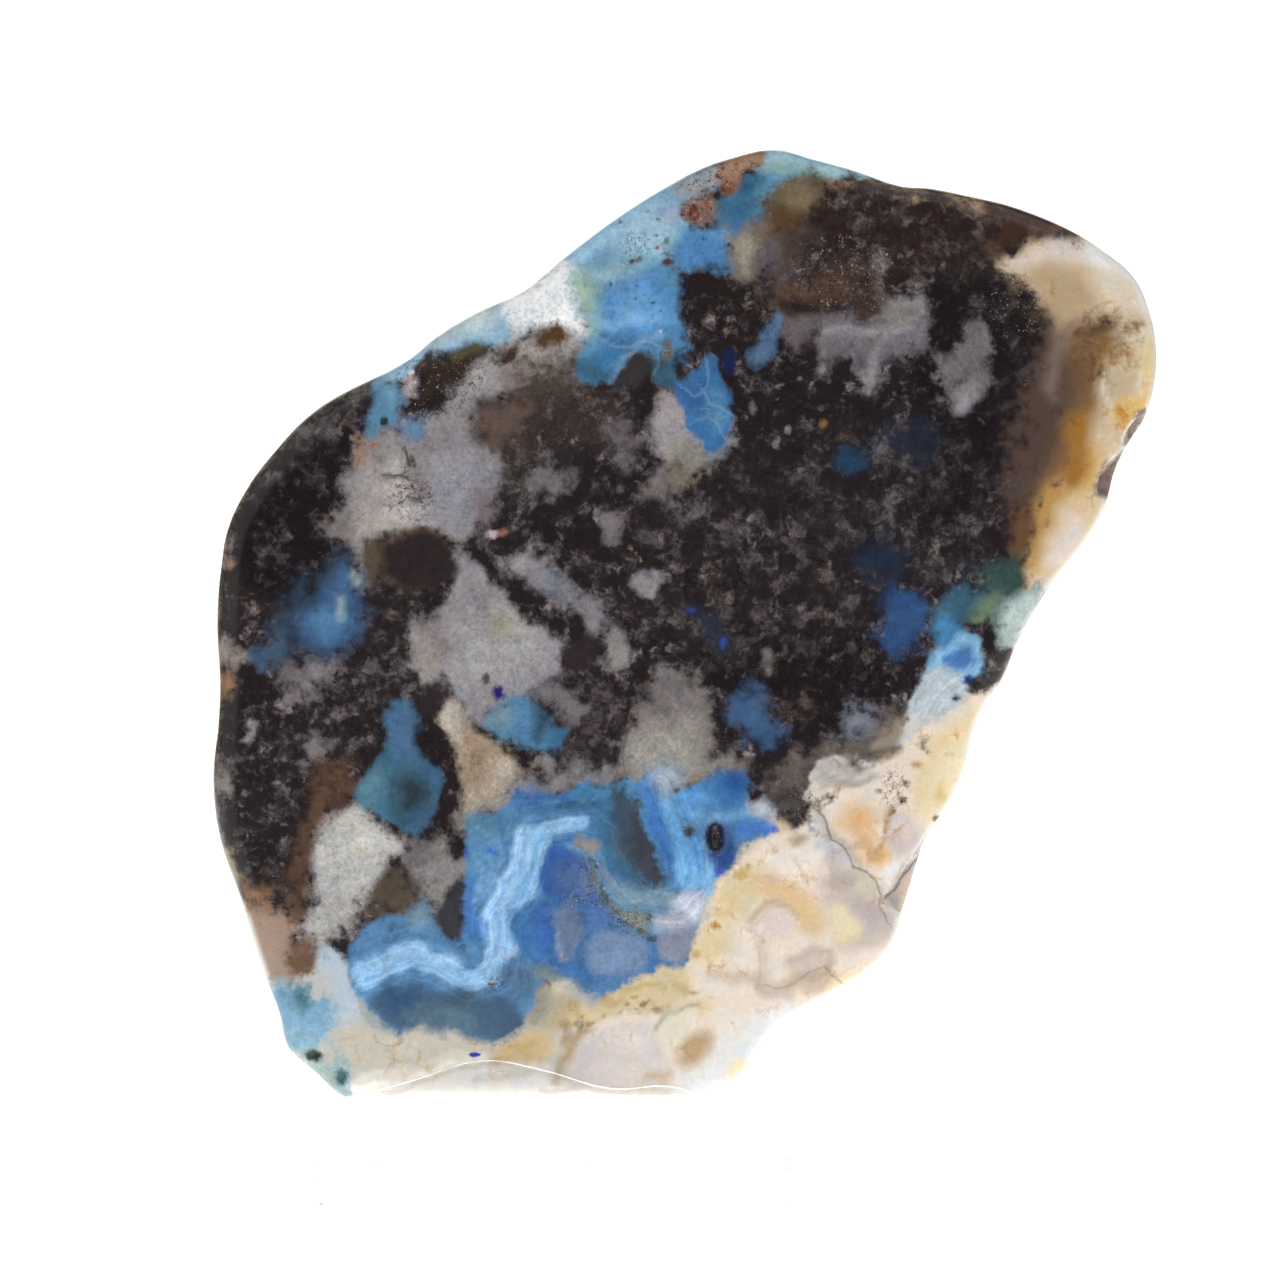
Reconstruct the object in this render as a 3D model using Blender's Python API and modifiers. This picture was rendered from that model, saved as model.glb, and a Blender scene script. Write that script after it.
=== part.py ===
"""A polished slice of azurite and malachite in quartz matrix, upright in a small clear stand.

Units are metres and +Z is up. The polished face of the slice looks along -Y. The origin lies on the
table, under the middle of the whole.
"""
import math

import bmesh
import bpy
from mathutils import Matrix, Vector, noise

MM = 0.001
GAP = 0.3 * MM

# The slice: a flat slab, 59 mm wide, whose edge is rounded over and polished with the faces
SLICE_THICKNESS = 7.0 * MM
RIM_ROUNDING = 1.3 * MM
RIM_RELIEF = 0.22 * MM
RIM_LUMP = 5.0 * MM
RIM_SEED = 7
OUTLINE_STEPS = 3
RIM_STEPS = 2

# Outline of the slice seen from the front, x and z in millimetres, from its lower left corner clockwise
SLICE_OUTLINE = [
    (-21.2, 5.2), (-23.3, 7.0), (-24.9, 8.5), (-25.4, 10.5), (-26.1, 12.3), (-27.0, 15.0), (-27.9, 18.0),
    (-28.9, 21.0), (-29.5, 24.0), (-29.6, 26.0), (-29.35, 28.5), (-29.2, 31.5), (-29.3, 35.0),
    (-29.1, 39.0), (-28.7, 41.2), (-27.7, 43.2), (-25.6, 46.0), (-23.5, 48.2), (-20.8, 50.0),
    (-17.2, 51.7), (-15.6, 53.0), (-12.7, 54.8), (-10.1, 56.0), (-7.7, 58.0), (-3.6, 61.0),
    (-1.1, 62.5), (1.0, 63.6), (3.0, 64.3), (5.8, 64.9), (8.0, 64.3), (11.0, 63.4), (13.6, 62.6),
    (15.3, 62.5), (18.0, 61.9), (21.0, 61.2), (24.0, 60.0), (26.4, 58.5), (28.2, 56.9), (29.1, 54.9),
    (29.6, 52.6), (29.5, 50.2), (28.8, 47.9), (27.6, 46.0), (27.0, 44.4), (26.5, 42.6), (25.0, 40.0),
    (23.2, 37.8), (21.0, 34.1), (20.1, 32.0), (18.4, 29.0), (17.7, 26.0), (16.8, 24.0), (15.2, 21.5),
    (14.7, 20.0), (13.8, 17.0), (13.1, 15.0), (11.9, 13.5), (9.9, 12.2), (7.7, 11.0), (5.6, 9.5),
    (4.5, 7.9), (3.4, 6.4), (1.8, 5.4), (-2.0, 5.0), (-8.0, 5.05), (-14.0, 4.95), (-18.5, 5.05),
]

# Hollows in the polished face in millimetres: x, z, half width, half height, depth
FACE_PITS = [
    (1.95, 21.85, 0.65, 1.05, 0.8),
    (0.35, 22.2, 0.4, 0.38, 0.4),
    (-23.0, 8.15, 0.65, 0.5, 0.6),
    (-21.4, 6.7, 0.42, 0.6, 0.5),
    (-8.3, 16.9, 0.3, 0.28, 0.3),
    (-6.7, 17.9, 0.55, 0.3, 0.35),
    (-3.1, 57.9, 0.35, 0.28, 0.35),
    (-1.0, 57.75, 0.5, 0.32, 0.4),
    (6.6, 23.5, 0.7, 0.45, 0.4),
]

# The crystal-lined crevice in the blue vein, x and z in millimetres, and the radius of its groove
CREVICE_ROUTE = [(-7.0, 21.1), (-5.6, 20.2), (-5.2, 18.9), (-4.6, 17.7), (-3.9, 16.7), (-2.7, 16.0),
                 (-1.6, 15.5)]
CREVICE_RADIUS = 0.32 * MM
CREVICE_SINK = 0.1 * MM
CREVICE_STEPS = 3

# Two open pockets on the right edge in millimetres: x, z, half length, half width, tilt in degrees
RIM_POCKETS = [
    (26.6, 44.4, 1.45, 0.6, 65.0),
    (28.15, 47.35, 1.15, 0.38, 54.0),
]
POCKET_DEPTH = 1.3 * MM

# The chip that left a slanting ledge on the lower right edge: its line runs from foot to head
CHIP_FOOT = (12.5, 17.8)
CHIP_HEAD = (15.2, 21.3)
CHIP_DEPTH = 1.5 * MM
CHIP_SLOPE = math.radians(24)
CHIP_REACH = 6.0 * MM

# The stand: one clear moulding, a base plate with a slotted bar whose front lip has a wavy top edge
STAND_LEFT = -23.25 * MM
STAND_RIGHT = 6.8 * MM
BASE_DEPTH = 26.0 * MM
BASE_HEIGHT = 3.4 * MM
SLOT_WIDTH = SLICE_THICKNESS + 2 * GAP
SLOT_FLOOR = 4.65 * MM
WALL = 2.5 * MM
REAR_HEIGHT = 7.6 * MM
JOIN = 0.6 * MM
EDGE_BREAK = 0.35 * MM
LIP_EDGE_BREAK = 0.25 * MM
LIP_STEPS = 5

# Top edge of the front lip, x and z in millimetres, from the left end to the right end
LIP_TOP = [(-21.0, 5.55), (-17.0, 6.6), (-12.6, 7.85), (-9.0, 7.3), (-4.5, 6.1), (-1.0, 6.25), (2.0, 5.5)]
LIP_END = 5.25 * MM


def clear_scene():
    for obj in list(bpy.data.objects):
        bpy.data.objects.remove(obj)


def new_collection(name):
    collection = bpy.data.collections.new(name)
    bpy.context.scene.collection.children.link(collection)
    return collection


def new_material(name, color, roughness, transmission=0.0, ior=1.5):
    material = bpy.data.materials.new(name)
    material.use_nodes = True
    shader = material.node_tree.nodes["Principled BSDF"]
    shader.inputs["Base Color"].default_value = (*color, 1.0)
    shader.inputs["Roughness"].default_value = roughness
    shader.inputs["Metallic"].default_value = 0.0
    shader.inputs["Transmission Weight"].default_value = transmission
    shader.inputs["IOR"].default_value = ior
    return material


def add_object(name, mesh, collection):
    obj = bpy.data.objects.new(name, mesh)
    collection.objects.link(obj)
    return obj


def mesh_from_curve(name, curve, placement, collection):
    """Turn a curve into a closed mesh object, its caps welded and its place in the mesh."""
    source = add_object(name + "_curve", curve, collection)
    graph = bpy.context.evaluated_depsgraph_get()
    mesh = bpy.data.meshes.new_from_object(source.evaluated_get(graph))
    bpy.data.objects.remove(source)
    mesh.transform(placement)
    shape = bmesh.new()
    shape.from_mesh(mesh)
    bmesh.ops.remove_doubles(shape, verts=shape.verts, dist=0.01 * MM)
    bmesh.ops.recalc_face_normals(shape, faces=shape.faces)
    shape.to_mesh(mesh)
    shape.free()
    return add_object(name, mesh, collection)


def mesh_from_bmesh(name, shape, collection):
    mesh = bpy.data.meshes.new(name)
    shape.to_mesh(mesh)
    shape.free()
    return add_object(name, mesh, collection)


def make_cutter(obj):
    obj.hide_render = True
    obj.display_type = "WIRE"


def add_boolean(target, other, operation):
    modifier = target.modifiers.new(operation.title() + " " + other.name, "BOOLEAN")
    modifier.operation = operation
    modifier.solver = "EXACT"
    modifier.object = other


def upright(y=0.0):
    """The turn that stands a flat drawing up: its Y becomes +Z and its +Z side looks along -Y."""
    return Matrix.Translation((0.0, y, 0.0)) @ Matrix.Rotation(math.radians(90), 4, "X")


def smooth_outline(name, points):
    curve = bpy.data.curves.new(name, "CURVE")
    curve.dimensions = "2D"
    curve.fill_mode = "BOTH"
    spline = curve.splines.new("BEZIER")
    spline.bezier_points.add(len(points) - 1)
    for knot, (x, z) in zip(spline.bezier_points, points):
        knot.co = (x * MM, z * MM, 0.0)
        knot.handle_left_type = knot.handle_right_type = "AUTO"
    spline.use_cyclic_u = True
    return curve


def weather_rim(mesh):
    """Push the edge of the slice in and out a little, most at mid thickness and not at all on the faces."""
    noise.seed_set(RIM_SEED)
    half = SLICE_THICKNESS / 2
    for vertex in mesh.vertices:
        share = 1.0 - (vertex.co.y / half) ** 2
        if share > 0.01:
            push = noise.noise_vector(vertex.co / RIM_LUMP) * RIM_RELIEF * share
            vertex.co += Vector((push.x, 0.0, push.z * min(1.0, max(0.0, vertex.co.z / MM - 8.0))))


def face_pit_cutter(collection):
    """All the pits as one cutter: flattened balls whose middles lie on the polished face."""
    shape = bmesh.new()
    for x, z, half_width, half_height, depth in FACE_PITS:
        place = Matrix.Translation((x * MM, -SLICE_THICKNESS / 2, z * MM))
        stretch = Matrix.Diagonal((half_width * MM, depth * MM, half_height * MM, 1.0))
        bmesh.ops.create_icosphere(shape, subdivisions=2, radius=1.0, matrix=place @ stretch)
    return mesh_from_bmesh("face_pits", shape, collection)


def rim_pocket_cutter(collection):
    shape = bmesh.new()
    for x, z, half_length, half_width, tilt in RIM_POCKETS:
        place = Matrix.Translation((x * MM, -SLICE_THICKNESS / 2 + 0.4 * POCKET_DEPTH, z * MM))
        turn = Matrix.Rotation(-math.radians(tilt), 4, "Y")
        stretch = Matrix.Diagonal((half_length * MM, POCKET_DEPTH, half_width * MM, 1.0))
        bmesh.ops.create_icosphere(shape, subdivisions=2, radius=1.0, matrix=place @ turn @ stretch)
    return mesh_from_bmesh("rim_pockets", shape, collection)


def crevice_cutter(collection):
    curve = bpy.data.curves.new("crevice", "CURVE")
    curve.dimensions = "3D"
    curve.bevel_depth = CREVICE_RADIUS
    curve.bevel_resolution = 1
    curve.use_fill_caps = True
    curve.resolution_u = CREVICE_STEPS
    spline = curve.splines.new("BEZIER")
    spline.bezier_points.add(len(CREVICE_ROUTE) - 1)
    for knot, (x, z) in zip(spline.bezier_points, CREVICE_ROUTE):
        knot.co = (x * MM, -SLICE_THICKNESS / 2 + CREVICE_SINK, z * MM)
        knot.handle_left_type = knot.handle_right_type = "AUTO"
    return mesh_from_curve("crevice", curve, Matrix.Identity(4), collection)


def chip_cutter(collection):
    """A block with one wall on the chip's line, leaning so that the ledge falls away outwards."""
    foot = Vector((CHIP_FOOT[0] * MM, 0.0, CHIP_FOOT[1] * MM))
    head = Vector((CHIP_HEAD[0] * MM, 0.0, CHIP_HEAD[1] * MM))
    along = (head - foot).normalized()
    outward = Vector((along.z, 0.0, -along.x))
    towards_viewer = Vector((0.0, -1.0, 0.0))
    axes = Matrix((outward, along, towards_viewer)).transposed().to_4x4()
    ledge = foot - outward * CHIP_DEPTH * math.tan(CHIP_SLOPE)
    ledge.y = -SLICE_THICKNESS / 2 + CHIP_DEPTH
    lean = Matrix.Rotation(CHIP_SLOPE, 4, "Y")
    grow = Matrix.Diagonal((CHIP_REACH, (head - foot).length + CHIP_REACH, CHIP_REACH, 1.0))
    corner = Matrix.Translation((0.5, 0.5, 0.5))
    shape = bmesh.new()
    bmesh.ops.create_cube(shape, size=1.0)
    shape.transform(Matrix.Translation(ledge) @ axes @ lean @ grow @ corner)
    return mesh_from_bmesh("chip", shape, collection)


def build_slice(parts, cutters):
    curve = smooth_outline("slice_outline", SLICE_OUTLINE)
    curve.resolution_u = OUTLINE_STEPS
    curve.bevel_depth = RIM_ROUNDING
    curve.bevel_resolution = RIM_STEPS
    curve.offset = -RIM_ROUNDING
    curve.extrude = SLICE_THICKNESS / 2 - RIM_ROUNDING
    stone = mesh_from_curve("stone_slice", curve, upright(), parts)
    weather_rim(stone.data)
    for cutter in (face_pit_cutter(cutters), rim_pocket_cutter(cutters), crevice_cutter(cutters),
                   chip_cutter(cutters)):
        make_cutter(cutter)
        add_boolean(stone, cutter, "DIFFERENCE")
    stone.data.materials.clear()
    stone.data.materials.append(new_material("polished_stone", (0.13, 0.17, 0.24), 0.18))
    stone.data.shade_smooth()
    stone.data.set_sharp_from_angle(angle=math.radians(40))
    return stone


def block(name, x_range, y_range, z_range, collection):
    shape = bmesh.new()
    size = [high - low for low, high in (x_range, y_range, z_range)]
    middle = [(high + low) / 2 for low, high in (x_range, y_range, z_range)]
    place = Matrix.Translation(middle) @ Matrix.Diagonal((*size, 1.0))
    bmesh.ops.create_cube(shape, size=1.0, matrix=place)
    return mesh_from_bmesh(name, shape, collection)


def break_edges(obj, width):
    modifier = obj.modifiers.new("Broken edges", "BEVEL")
    modifier.width = width
    modifier.segments = 2
    modifier.limit_method = "ANGLE"
    modifier.angle_limit = math.radians(40)


def front_lip(collection):
    """The lip as a drawing of its front: straight foot and ends, and a smooth wavy top edge."""
    foot = BASE_HEIGHT - JOIN
    left, right = STAND_LEFT / MM, STAND_RIGHT / MM
    outline = [(left, foot / MM), (left, LIP_END / MM), *LIP_TOP, (right, LIP_END / MM), (right, foot / MM)]
    curve = smooth_outline("lip_outline", outline)
    curve.resolution_u = LIP_STEPS
    curve.extrude = WALL / 2 - LIP_EDGE_BREAK
    curve.bevel_depth = LIP_EDGE_BREAK
    curve.bevel_resolution = 1
    curve.offset = -LIP_EDGE_BREAK
    knots = curve.splines[0].bezier_points
    for corner in (0, 1, len(outline) - 2, len(outline) - 1):
        knots[corner].handle_left_type = knots[corner].handle_right_type = "VECTOR"
    return mesh_from_curve("front_lip", curve, upright(-SLOT_WIDTH / 2 - WALL / 2), collection)


def build_stand(parts, cutters):
    sides = (STAND_LEFT, STAND_RIGHT)
    inner, outer = SLOT_WIDTH / 2, SLOT_WIDTH / 2 + WALL
    foot = BASE_HEIGHT - JOIN
    stand = block("clear_stand", sides, (-BASE_DEPTH / 2, BASE_DEPTH / 2), (0.0, BASE_HEIGHT), parts)
    break_edges(stand, EDGE_BREAK)
    rear_wall = block("rear_wall", sides, (inner, outer), (foot, REAR_HEIGHT), cutters)
    break_edges(rear_wall, EDGE_BREAK)
    slot_bed = block("slot_bed", (STAND_LEFT + EDGE_BREAK, STAND_RIGHT - EDGE_BREAK),
                     (-inner - JOIN, inner + JOIN), (foot, SLOT_FLOOR), cutters)
    for piece in (rear_wall, slot_bed, front_lip(cutters)):
        make_cutter(piece)
        add_boolean(stand, piece, "UNION")
    stand.data.materials.append(new_material("clear_acrylic", (0.97, 0.98, 1.0), 0.03, 1.0, 1.49))
    return stand


clear_scene()
object_parts = new_collection("azurite_malachite_slice")
shape_tools = new_collection("shape_tools")
build_slice(object_parts, shape_tools)
build_stand(object_parts, shape_tools)
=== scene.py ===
"""The looks of a polished azurite and malachite slice that stands in a small clear stand."""
import math

import bmesh
import bpy
import numpy as np
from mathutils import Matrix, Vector, noise


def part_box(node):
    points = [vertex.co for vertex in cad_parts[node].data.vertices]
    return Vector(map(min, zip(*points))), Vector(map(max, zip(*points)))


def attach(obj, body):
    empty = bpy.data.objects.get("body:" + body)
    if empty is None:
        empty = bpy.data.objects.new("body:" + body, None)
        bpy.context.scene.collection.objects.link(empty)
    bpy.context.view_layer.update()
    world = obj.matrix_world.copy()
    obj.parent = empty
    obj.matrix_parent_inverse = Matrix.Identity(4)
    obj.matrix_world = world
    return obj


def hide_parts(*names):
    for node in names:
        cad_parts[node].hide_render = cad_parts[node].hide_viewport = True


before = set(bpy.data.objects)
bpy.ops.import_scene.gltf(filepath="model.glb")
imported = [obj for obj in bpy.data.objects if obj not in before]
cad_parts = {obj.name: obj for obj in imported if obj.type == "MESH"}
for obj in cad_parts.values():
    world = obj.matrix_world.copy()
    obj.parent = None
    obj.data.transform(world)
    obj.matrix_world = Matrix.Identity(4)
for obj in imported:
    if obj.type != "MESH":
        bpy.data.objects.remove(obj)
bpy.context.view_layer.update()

MM = 0.001


# The stone slice: one 7 mm slab sawn across a dark rock veined with blue azurite, pale quartz and a
# little green malachite. Its faces and its rounded edge are polished, a few hollows and one chip are
# left open, and it only rests in the slot of the stand.

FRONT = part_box("stone_slice")[0][1] / MM
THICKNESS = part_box("stone_slice")[1][1] / MM - FRONT
FINE_GRAIN = 0.26 * MM
LOOSE_CORNERS = 0.002 * MM
EDGE_PASSES = 2


def merged_copy(node, name):
    """A new object with a copy of a CAD node's mesh, its loose triangles joined."""
    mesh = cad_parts[node].data.copy()
    mesh.name = name
    shape = bmesh.new()
    shape.from_mesh(mesh)
    bmesh.ops.remove_doubles(shape, verts=shape.verts, dist=LOOSE_CORNERS)
    shape.to_mesh(mesh)
    shape.free()
    obj = bpy.data.objects.new(name, mesh)
    bpy.context.scene.collection.objects.link(obj)
    return obj


def settle(obj):
    """Replace an object's mesh by what its modifiers make of it."""
    graph = bpy.context.evaluated_depsgraph_get()
    mesh = bpy.data.meshes.new_from_object(obj.evaluated_get(graph))
    obj.modifiers.clear()
    obj.data = mesh


def positions(mesh):
    """The mesh's points in millimetres, one row each."""
    points = np.empty(len(mesh.vertices) * 3)
    mesh.vertices.foreach_get("co", points)
    return points.reshape(-1, 3) / MM


def smooth_edge_of_slab(mesh, passes):
    """Even out the grain of the remesh on the rounded edge, and leave the flat faces as they are."""
    shape = bmesh.new()
    shape.from_mesh(mesh)
    flat = THICKNESS / 2 - 0.02
    edge = [vertex for vertex in shape.verts if abs(vertex.co.y / MM) < flat]
    for _ in range(passes):
        bmesh.ops.smooth_vert(shape, verts=edge, factor=0.5, use_axis_x=True, use_axis_y=True,
                              use_axis_z=True)
    shape.to_mesh(mesh)
    shape.free()


slice_piece = merged_copy("stone_slice", "polished_slice")
remesh = slice_piece.modifiers.new("Even grain", "REMESH")
remesh.mode = "VOXEL"
remesh.voxel_size = FINE_GRAIN
settle(slice_piece)
slab = slice_piece.data
smooth_edge_of_slab(slab, EDGE_PASSES)

# The markings are drawn on the front face, x and z in millimetres, and run through the slab: with
# depth they drift inwards and wander, so that edge and back show the same rock a little changed.

INWARD_DRIFT = 0.05
DEPTH_WANDER = 2.4
WANDER_SIZE = 11.0
WOBBLES = ((3.0, 0.45), (1.2, 0.3), (0.55, 0.12))
WOBBLE_SEED = 11
REACH = 5
FAR_OFF = 99.0


def wandering(points, size, amount):
    """A smooth random push for each point, in millimetres."""
    return amount * np.array([noise.noise_vector(Vector(point) / size) for point in points])


noise.seed_set(WOBBLE_SEED)
points = positions(slab)
depth = np.clip((points[:, 1] - FRONT) / THICKNESS - 0.1, 0, 1)
middle = points.mean(axis=0)
strayed = wandering(points, WANDER_SIZE, DEPTH_WANDER) - INWARD_DRIFT * (points - middle)
drifted = points + depth[:, None] * strayed
wobbled = drifted + sum(wandering(points, size, amount) for size, amount in WOBBLES)


def linear(colour):
    """A colour as the eye names it, 0 to 255, turned into light."""
    share = np.array(colour) / 255
    return np.where(share > 0.04045, ((share + 0.055) / 1.055) ** 2.4, share / 12.92)


def rounded(outline):
    """An outline with its corners cut once, so that a patch drawn with few points looks grown."""
    here = np.array(outline, dtype=float)
    there = np.roll(here, -1, axis=0)
    return np.stack([0.8 * here + 0.2 * there, 0.2 * here + 0.8 * there], axis=1).reshape(-1, 2)


def close_to(route, points):
    """Which points lie within reach of a route, and their x and z."""
    low, high = route.min(axis=0) - REACH, route.max(axis=0) + REACH
    x, z = points[:, 0], points[:, 2]
    near = np.flatnonzero((x > low[0]) & (x < high[0]) & (z > low[1]) & (z < high[1]))
    return near, x[near], z[near]


def distance_from(route, points):
    """How far each point is from an open route in x and z."""
    near, x, z = close_to(route, points)
    gap = np.full(len(near), FAR_OFF)
    for (x0, z0), (x1, z1) in zip(route, route[1:]):
        run, rise = x1 - x0, z1 - z0
        share = np.clip(((x - x0) * run + (z - z0) * rise) / (run * run + rise * rise + 1e-9), 0, 1)
        gap = np.minimum(gap, np.hypot(x - x0 - share * run, z - z0 - share * rise))
    distance = np.full(len(points), FAR_OFF)
    distance[near] = gap
    return distance


def distance_into(outline, points):
    """How far each point is from an outline in x and z, less than zero inside it."""
    near, x, z = close_to(outline, points)
    within = np.zeros(len(near), dtype=bool)
    for (x0, z0), (x1, z1) in zip(outline, np.roll(outline, -1, axis=0)):
        within ^= ((z0 > z) != (z1 > z)) & (x < (x1 - x0) * (z - z0) / (z1 - z0 + 1e-12) + x0)
    distance = distance_from(np.vstack([outline, outline[:1]]), points)
    distance[near] *= np.where(within, -1, 1)
    return distance


class Layer:
    """Patches of one kind of mineral: how deep each point lies in them, and their colour there. ragged
    and speckled say how far coarse and fine noise break up their borders, and spread widens them."""

    OUTSIDE = 9.0
    FADE = 4
    SPOT_CORNERS = 12

    def __init__(self, name, ragged, speckled, spread):
        self.name, self.ragged, self.speckled, self.spread = name, ragged, speckled, spread
        self.into = np.full(len(points), self.OUTSIDE)
        self.near = np.zeros((len(points), 3))
        self.weight = np.full(len(points), 1e-9)
        self.painted = np.zeros((len(points), 3))
        self.bare = np.ones(len(points))

    def patch(self, colour, soft, solid, outline, grown=True):
        """One outline. soft is how wide its border is in mm, and solid how dense it is: 0 is half bare."""
        shape = rounded(outline) if grown else np.array(outline, dtype=float)
        self.lay(colour, soft, solid, distance_into(shape, wobbled if grown else drifted))

    def patches(self, *patches):
        """Each is a colour, soft and solid, then the points of its outline."""
        for colour, soft, solid, *outline in patches:
            self.patch(colour, soft, solid, outline)

    def lay(self, colour, soft, solid, distance):
        """Lay a colour where the distance is less than zero, over what lies there already."""
        into = np.maximum(distance / (soft * self.spread), -solid)
        light = linear(colour)
        self.into = np.minimum(self.into, into)
        weight = np.exp(-self.FADE * np.maximum(into + solid, 0))
        self.near += weight[:, None] * light
        self.weight += weight
        cover = np.clip(0.5 - into, 0, 1) / min(0.5 + solid, 1)
        self.painted = self.painted * (1 - cover)[:, None] + cover[:, None] * light
        self.bare *= 1 - cover

    def stroke(self, colour, soft, solid, width, route):
        """A band of one width along a route, as a brush would lay it."""
        self.lay(colour, soft, solid, distance_from(np.array(route, dtype=float), wobbled) - width / 2)

    def strokes(self, *strokes):
        """Each is a colour, soft, solid and a width, then the points of its route."""
        for colour, soft, solid, width, *route in strokes:
            self.stroke(colour, soft, solid, width, route)

    def spot(self, colour, x, z, width, tall=None, soft=0.15, solid=2.0):
        """A small round or oval grain."""
        tall = tall or width
        turns = np.linspace(0, 2 * math.pi, self.SPOT_CORNERS, endpoint=False)
        outline = [(x + width * math.cos(turn) / 2, z + tall * math.sin(turn) / 2) for turn in turns]
        self.patch(colour, soft, solid, outline, False)

    def spots(self, *spots):
        """Each is a colour, its place and its size, as spot takes them."""
        for spot in spots:
            self.spot(*spot)

    def write(self, mesh):
        """Keep the layer on the mesh, for the polish to read."""
        colour = self.painted + self.bare[:, None] * self.near / self.weight[:, None]
        into = mesh.attributes.new(self.name + "_into", "FLOAT", "POINT")
        into.data.foreach_set("value", self.into.astype(np.float32))
        tint = mesh.attributes.new(self.name + "_colour", "FLOAT_VECTOR", "POINT")
        tint.data.foreach_set("vector", colour.astype(np.float32).ravel())


class Lines:
    """Fine lines: on which side of the nearest one each point lies, how far off, and how strong it is."""

    OUTSIDE = 9.0

    def __init__(self, name, reach):
        self.name, self.reach = name, reach
        self.side = np.full(len(points), self.OUTSIDE)
        self.strength = np.zeros(len(points))

    def line(self, route, strength):
        """One line along a route."""
        x, z = drifted[:, 0], drifted[:, 2]
        for (x0, z0), (x1, z1) in zip(route, route[1:]):
            run, rise = x1 - x0, z1 - z0
            share = np.clip(((x - x0) * run + (z - z0) * rise) / (run * run + rise * rise), 0, 1)
            gap = np.hypot(x - x0 - share * run, z - z0 - share * rise)
            left = np.where(run * (z - z0) - rise * (x - x0) > 0, 1.0, -1.0)
            closer = gap < np.abs(self.side)
            self.side = np.where(closer, gap * left, self.side)
            self.strength = np.where(closer & (gap < self.reach), strength, self.strength)

    def lines(self, *lines):
        """Each is a strength, then the points of its route."""
        for strength, *route in lines:
            self.line(np.array(route, dtype=float), strength)

    def write(self, mesh):
        """Keep the lines on the mesh, for the polish to read."""
        for name, values in (("_side", self.side), ("_strength", self.strength)):
            kept = mesh.attributes.new(self.name + name, "FLOAT", "POINT")
            kept.data.foreach_set("value", values.astype(np.float32))


# The edge of the rim, where it turns away near the front face, is thin enough to let light through: this is
# the mask for that light, which is painted into the colour
normals = np.zeros(len(slab.vertices) * 3, dtype=np.float32)
slab.vertex_normals.foreach_get("vector", normals)
turned_away = np.clip((0.8 - np.abs(normals.reshape(-1, 3)[:, 1])) / 0.3, 0, 1)
painted_rim_light = turned_away * np.clip(1.3 - depth * 5, 0, 1)
slab.attributes.new("painted_rim_light", "FLOAT", "POINT").data.foreach_set("value", painted_rim_light.astype(np.float32))

matrix = Layer("matrix", 0.0, 0.0, 1.0)
haze = Layer("haze", 0.35, 0.2, 2.0)
quartz = Layer("quartz", 0.5, 0.22, 2.0)
cream = Layer("cream", 0.5, 0.2, 1.5)
azurite = Layer("azurite", 0.5, 0.22, 1.6)
stain = Layer("stain", 0.5, 0.25, 1.8)
grain = Layer("grain", 0.3, 0.25, 1.2)
sparkle = Layer("sparkle", 0.3, 0.2, 1.0)
cracks_and_step_shadow = Lines("cracks_and_step_shadow", 0.6)
thread = Lines("thread", 0.6)
band = Lines("band", 2.6)


def glints(*clusters):
    """Zones of painted glints, small highlights off the polish, and of painted shade in tiny pits, each with
    x, z, half width and half height.
    """
    fade = 0.5
    for x, z, half_width, half_height in clusters:
        sparkle.spot((255, 255, 255), x, z, 2 * half_width + fade, 2 * half_height + fade, fade, 0.6)


# Upper left: grey quartz with a knobbly middle, a pale blue crust on the edge, brown dendrites
matrix.patches(
    ((37, 29, 32), 1.0, 1, (-60, -10), (60, -10), (60, 90), (-60, 90)),
    ((50, 40, 40), 2.0, 1, (-29, 40), (-26, 46), (-22, 47), (-22, 42), (-24, 36), (-29, 35)),
    ((62, 51, 49), 1.5, 1, (-12.5, 48), (-9, 50), (-4, 50), (-3, 47), (-5, 45.6), (-9.5, 46), (-12, 42)),
    ((82, 70, 66), 1.2, 1, (-11.5, 52.6), (-6, 52.4), (-5.6, 50.5), (-8, 49.2), (-10.6, 48.8)),
    ((29, 22, 26), 1.5, 1, (-29, 38), (-28, 43), (-23, 48), (-21, 48), (-20.5, 44), (-22, 41), (-21, 38),
     (-24, 36)))
haze.patches(
    ((112, 102, 100), 0.9, 0.0, (-26.6, 44.6), (-24.6, 47), (-21.5, 49.6), (-19.8, 50.4), (-19.4, 49.6),
     (-21.5, 48), (-24, 45.6), (-25.8, 43.6)),
    ((120, 110, 106), 0.9, -0.1, (-13, 42), (-11, 42.6), (-10.2, 41), (-10.6, 39.8), (-12.6, 40)),
    ((90, 82, 80), 0.9, 0.1, (-19.6, 38.4), (-17.5, 38.2), (-15.4, 37.6), (-15.6, 35.6), (-19.6, 35.4)))
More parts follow.
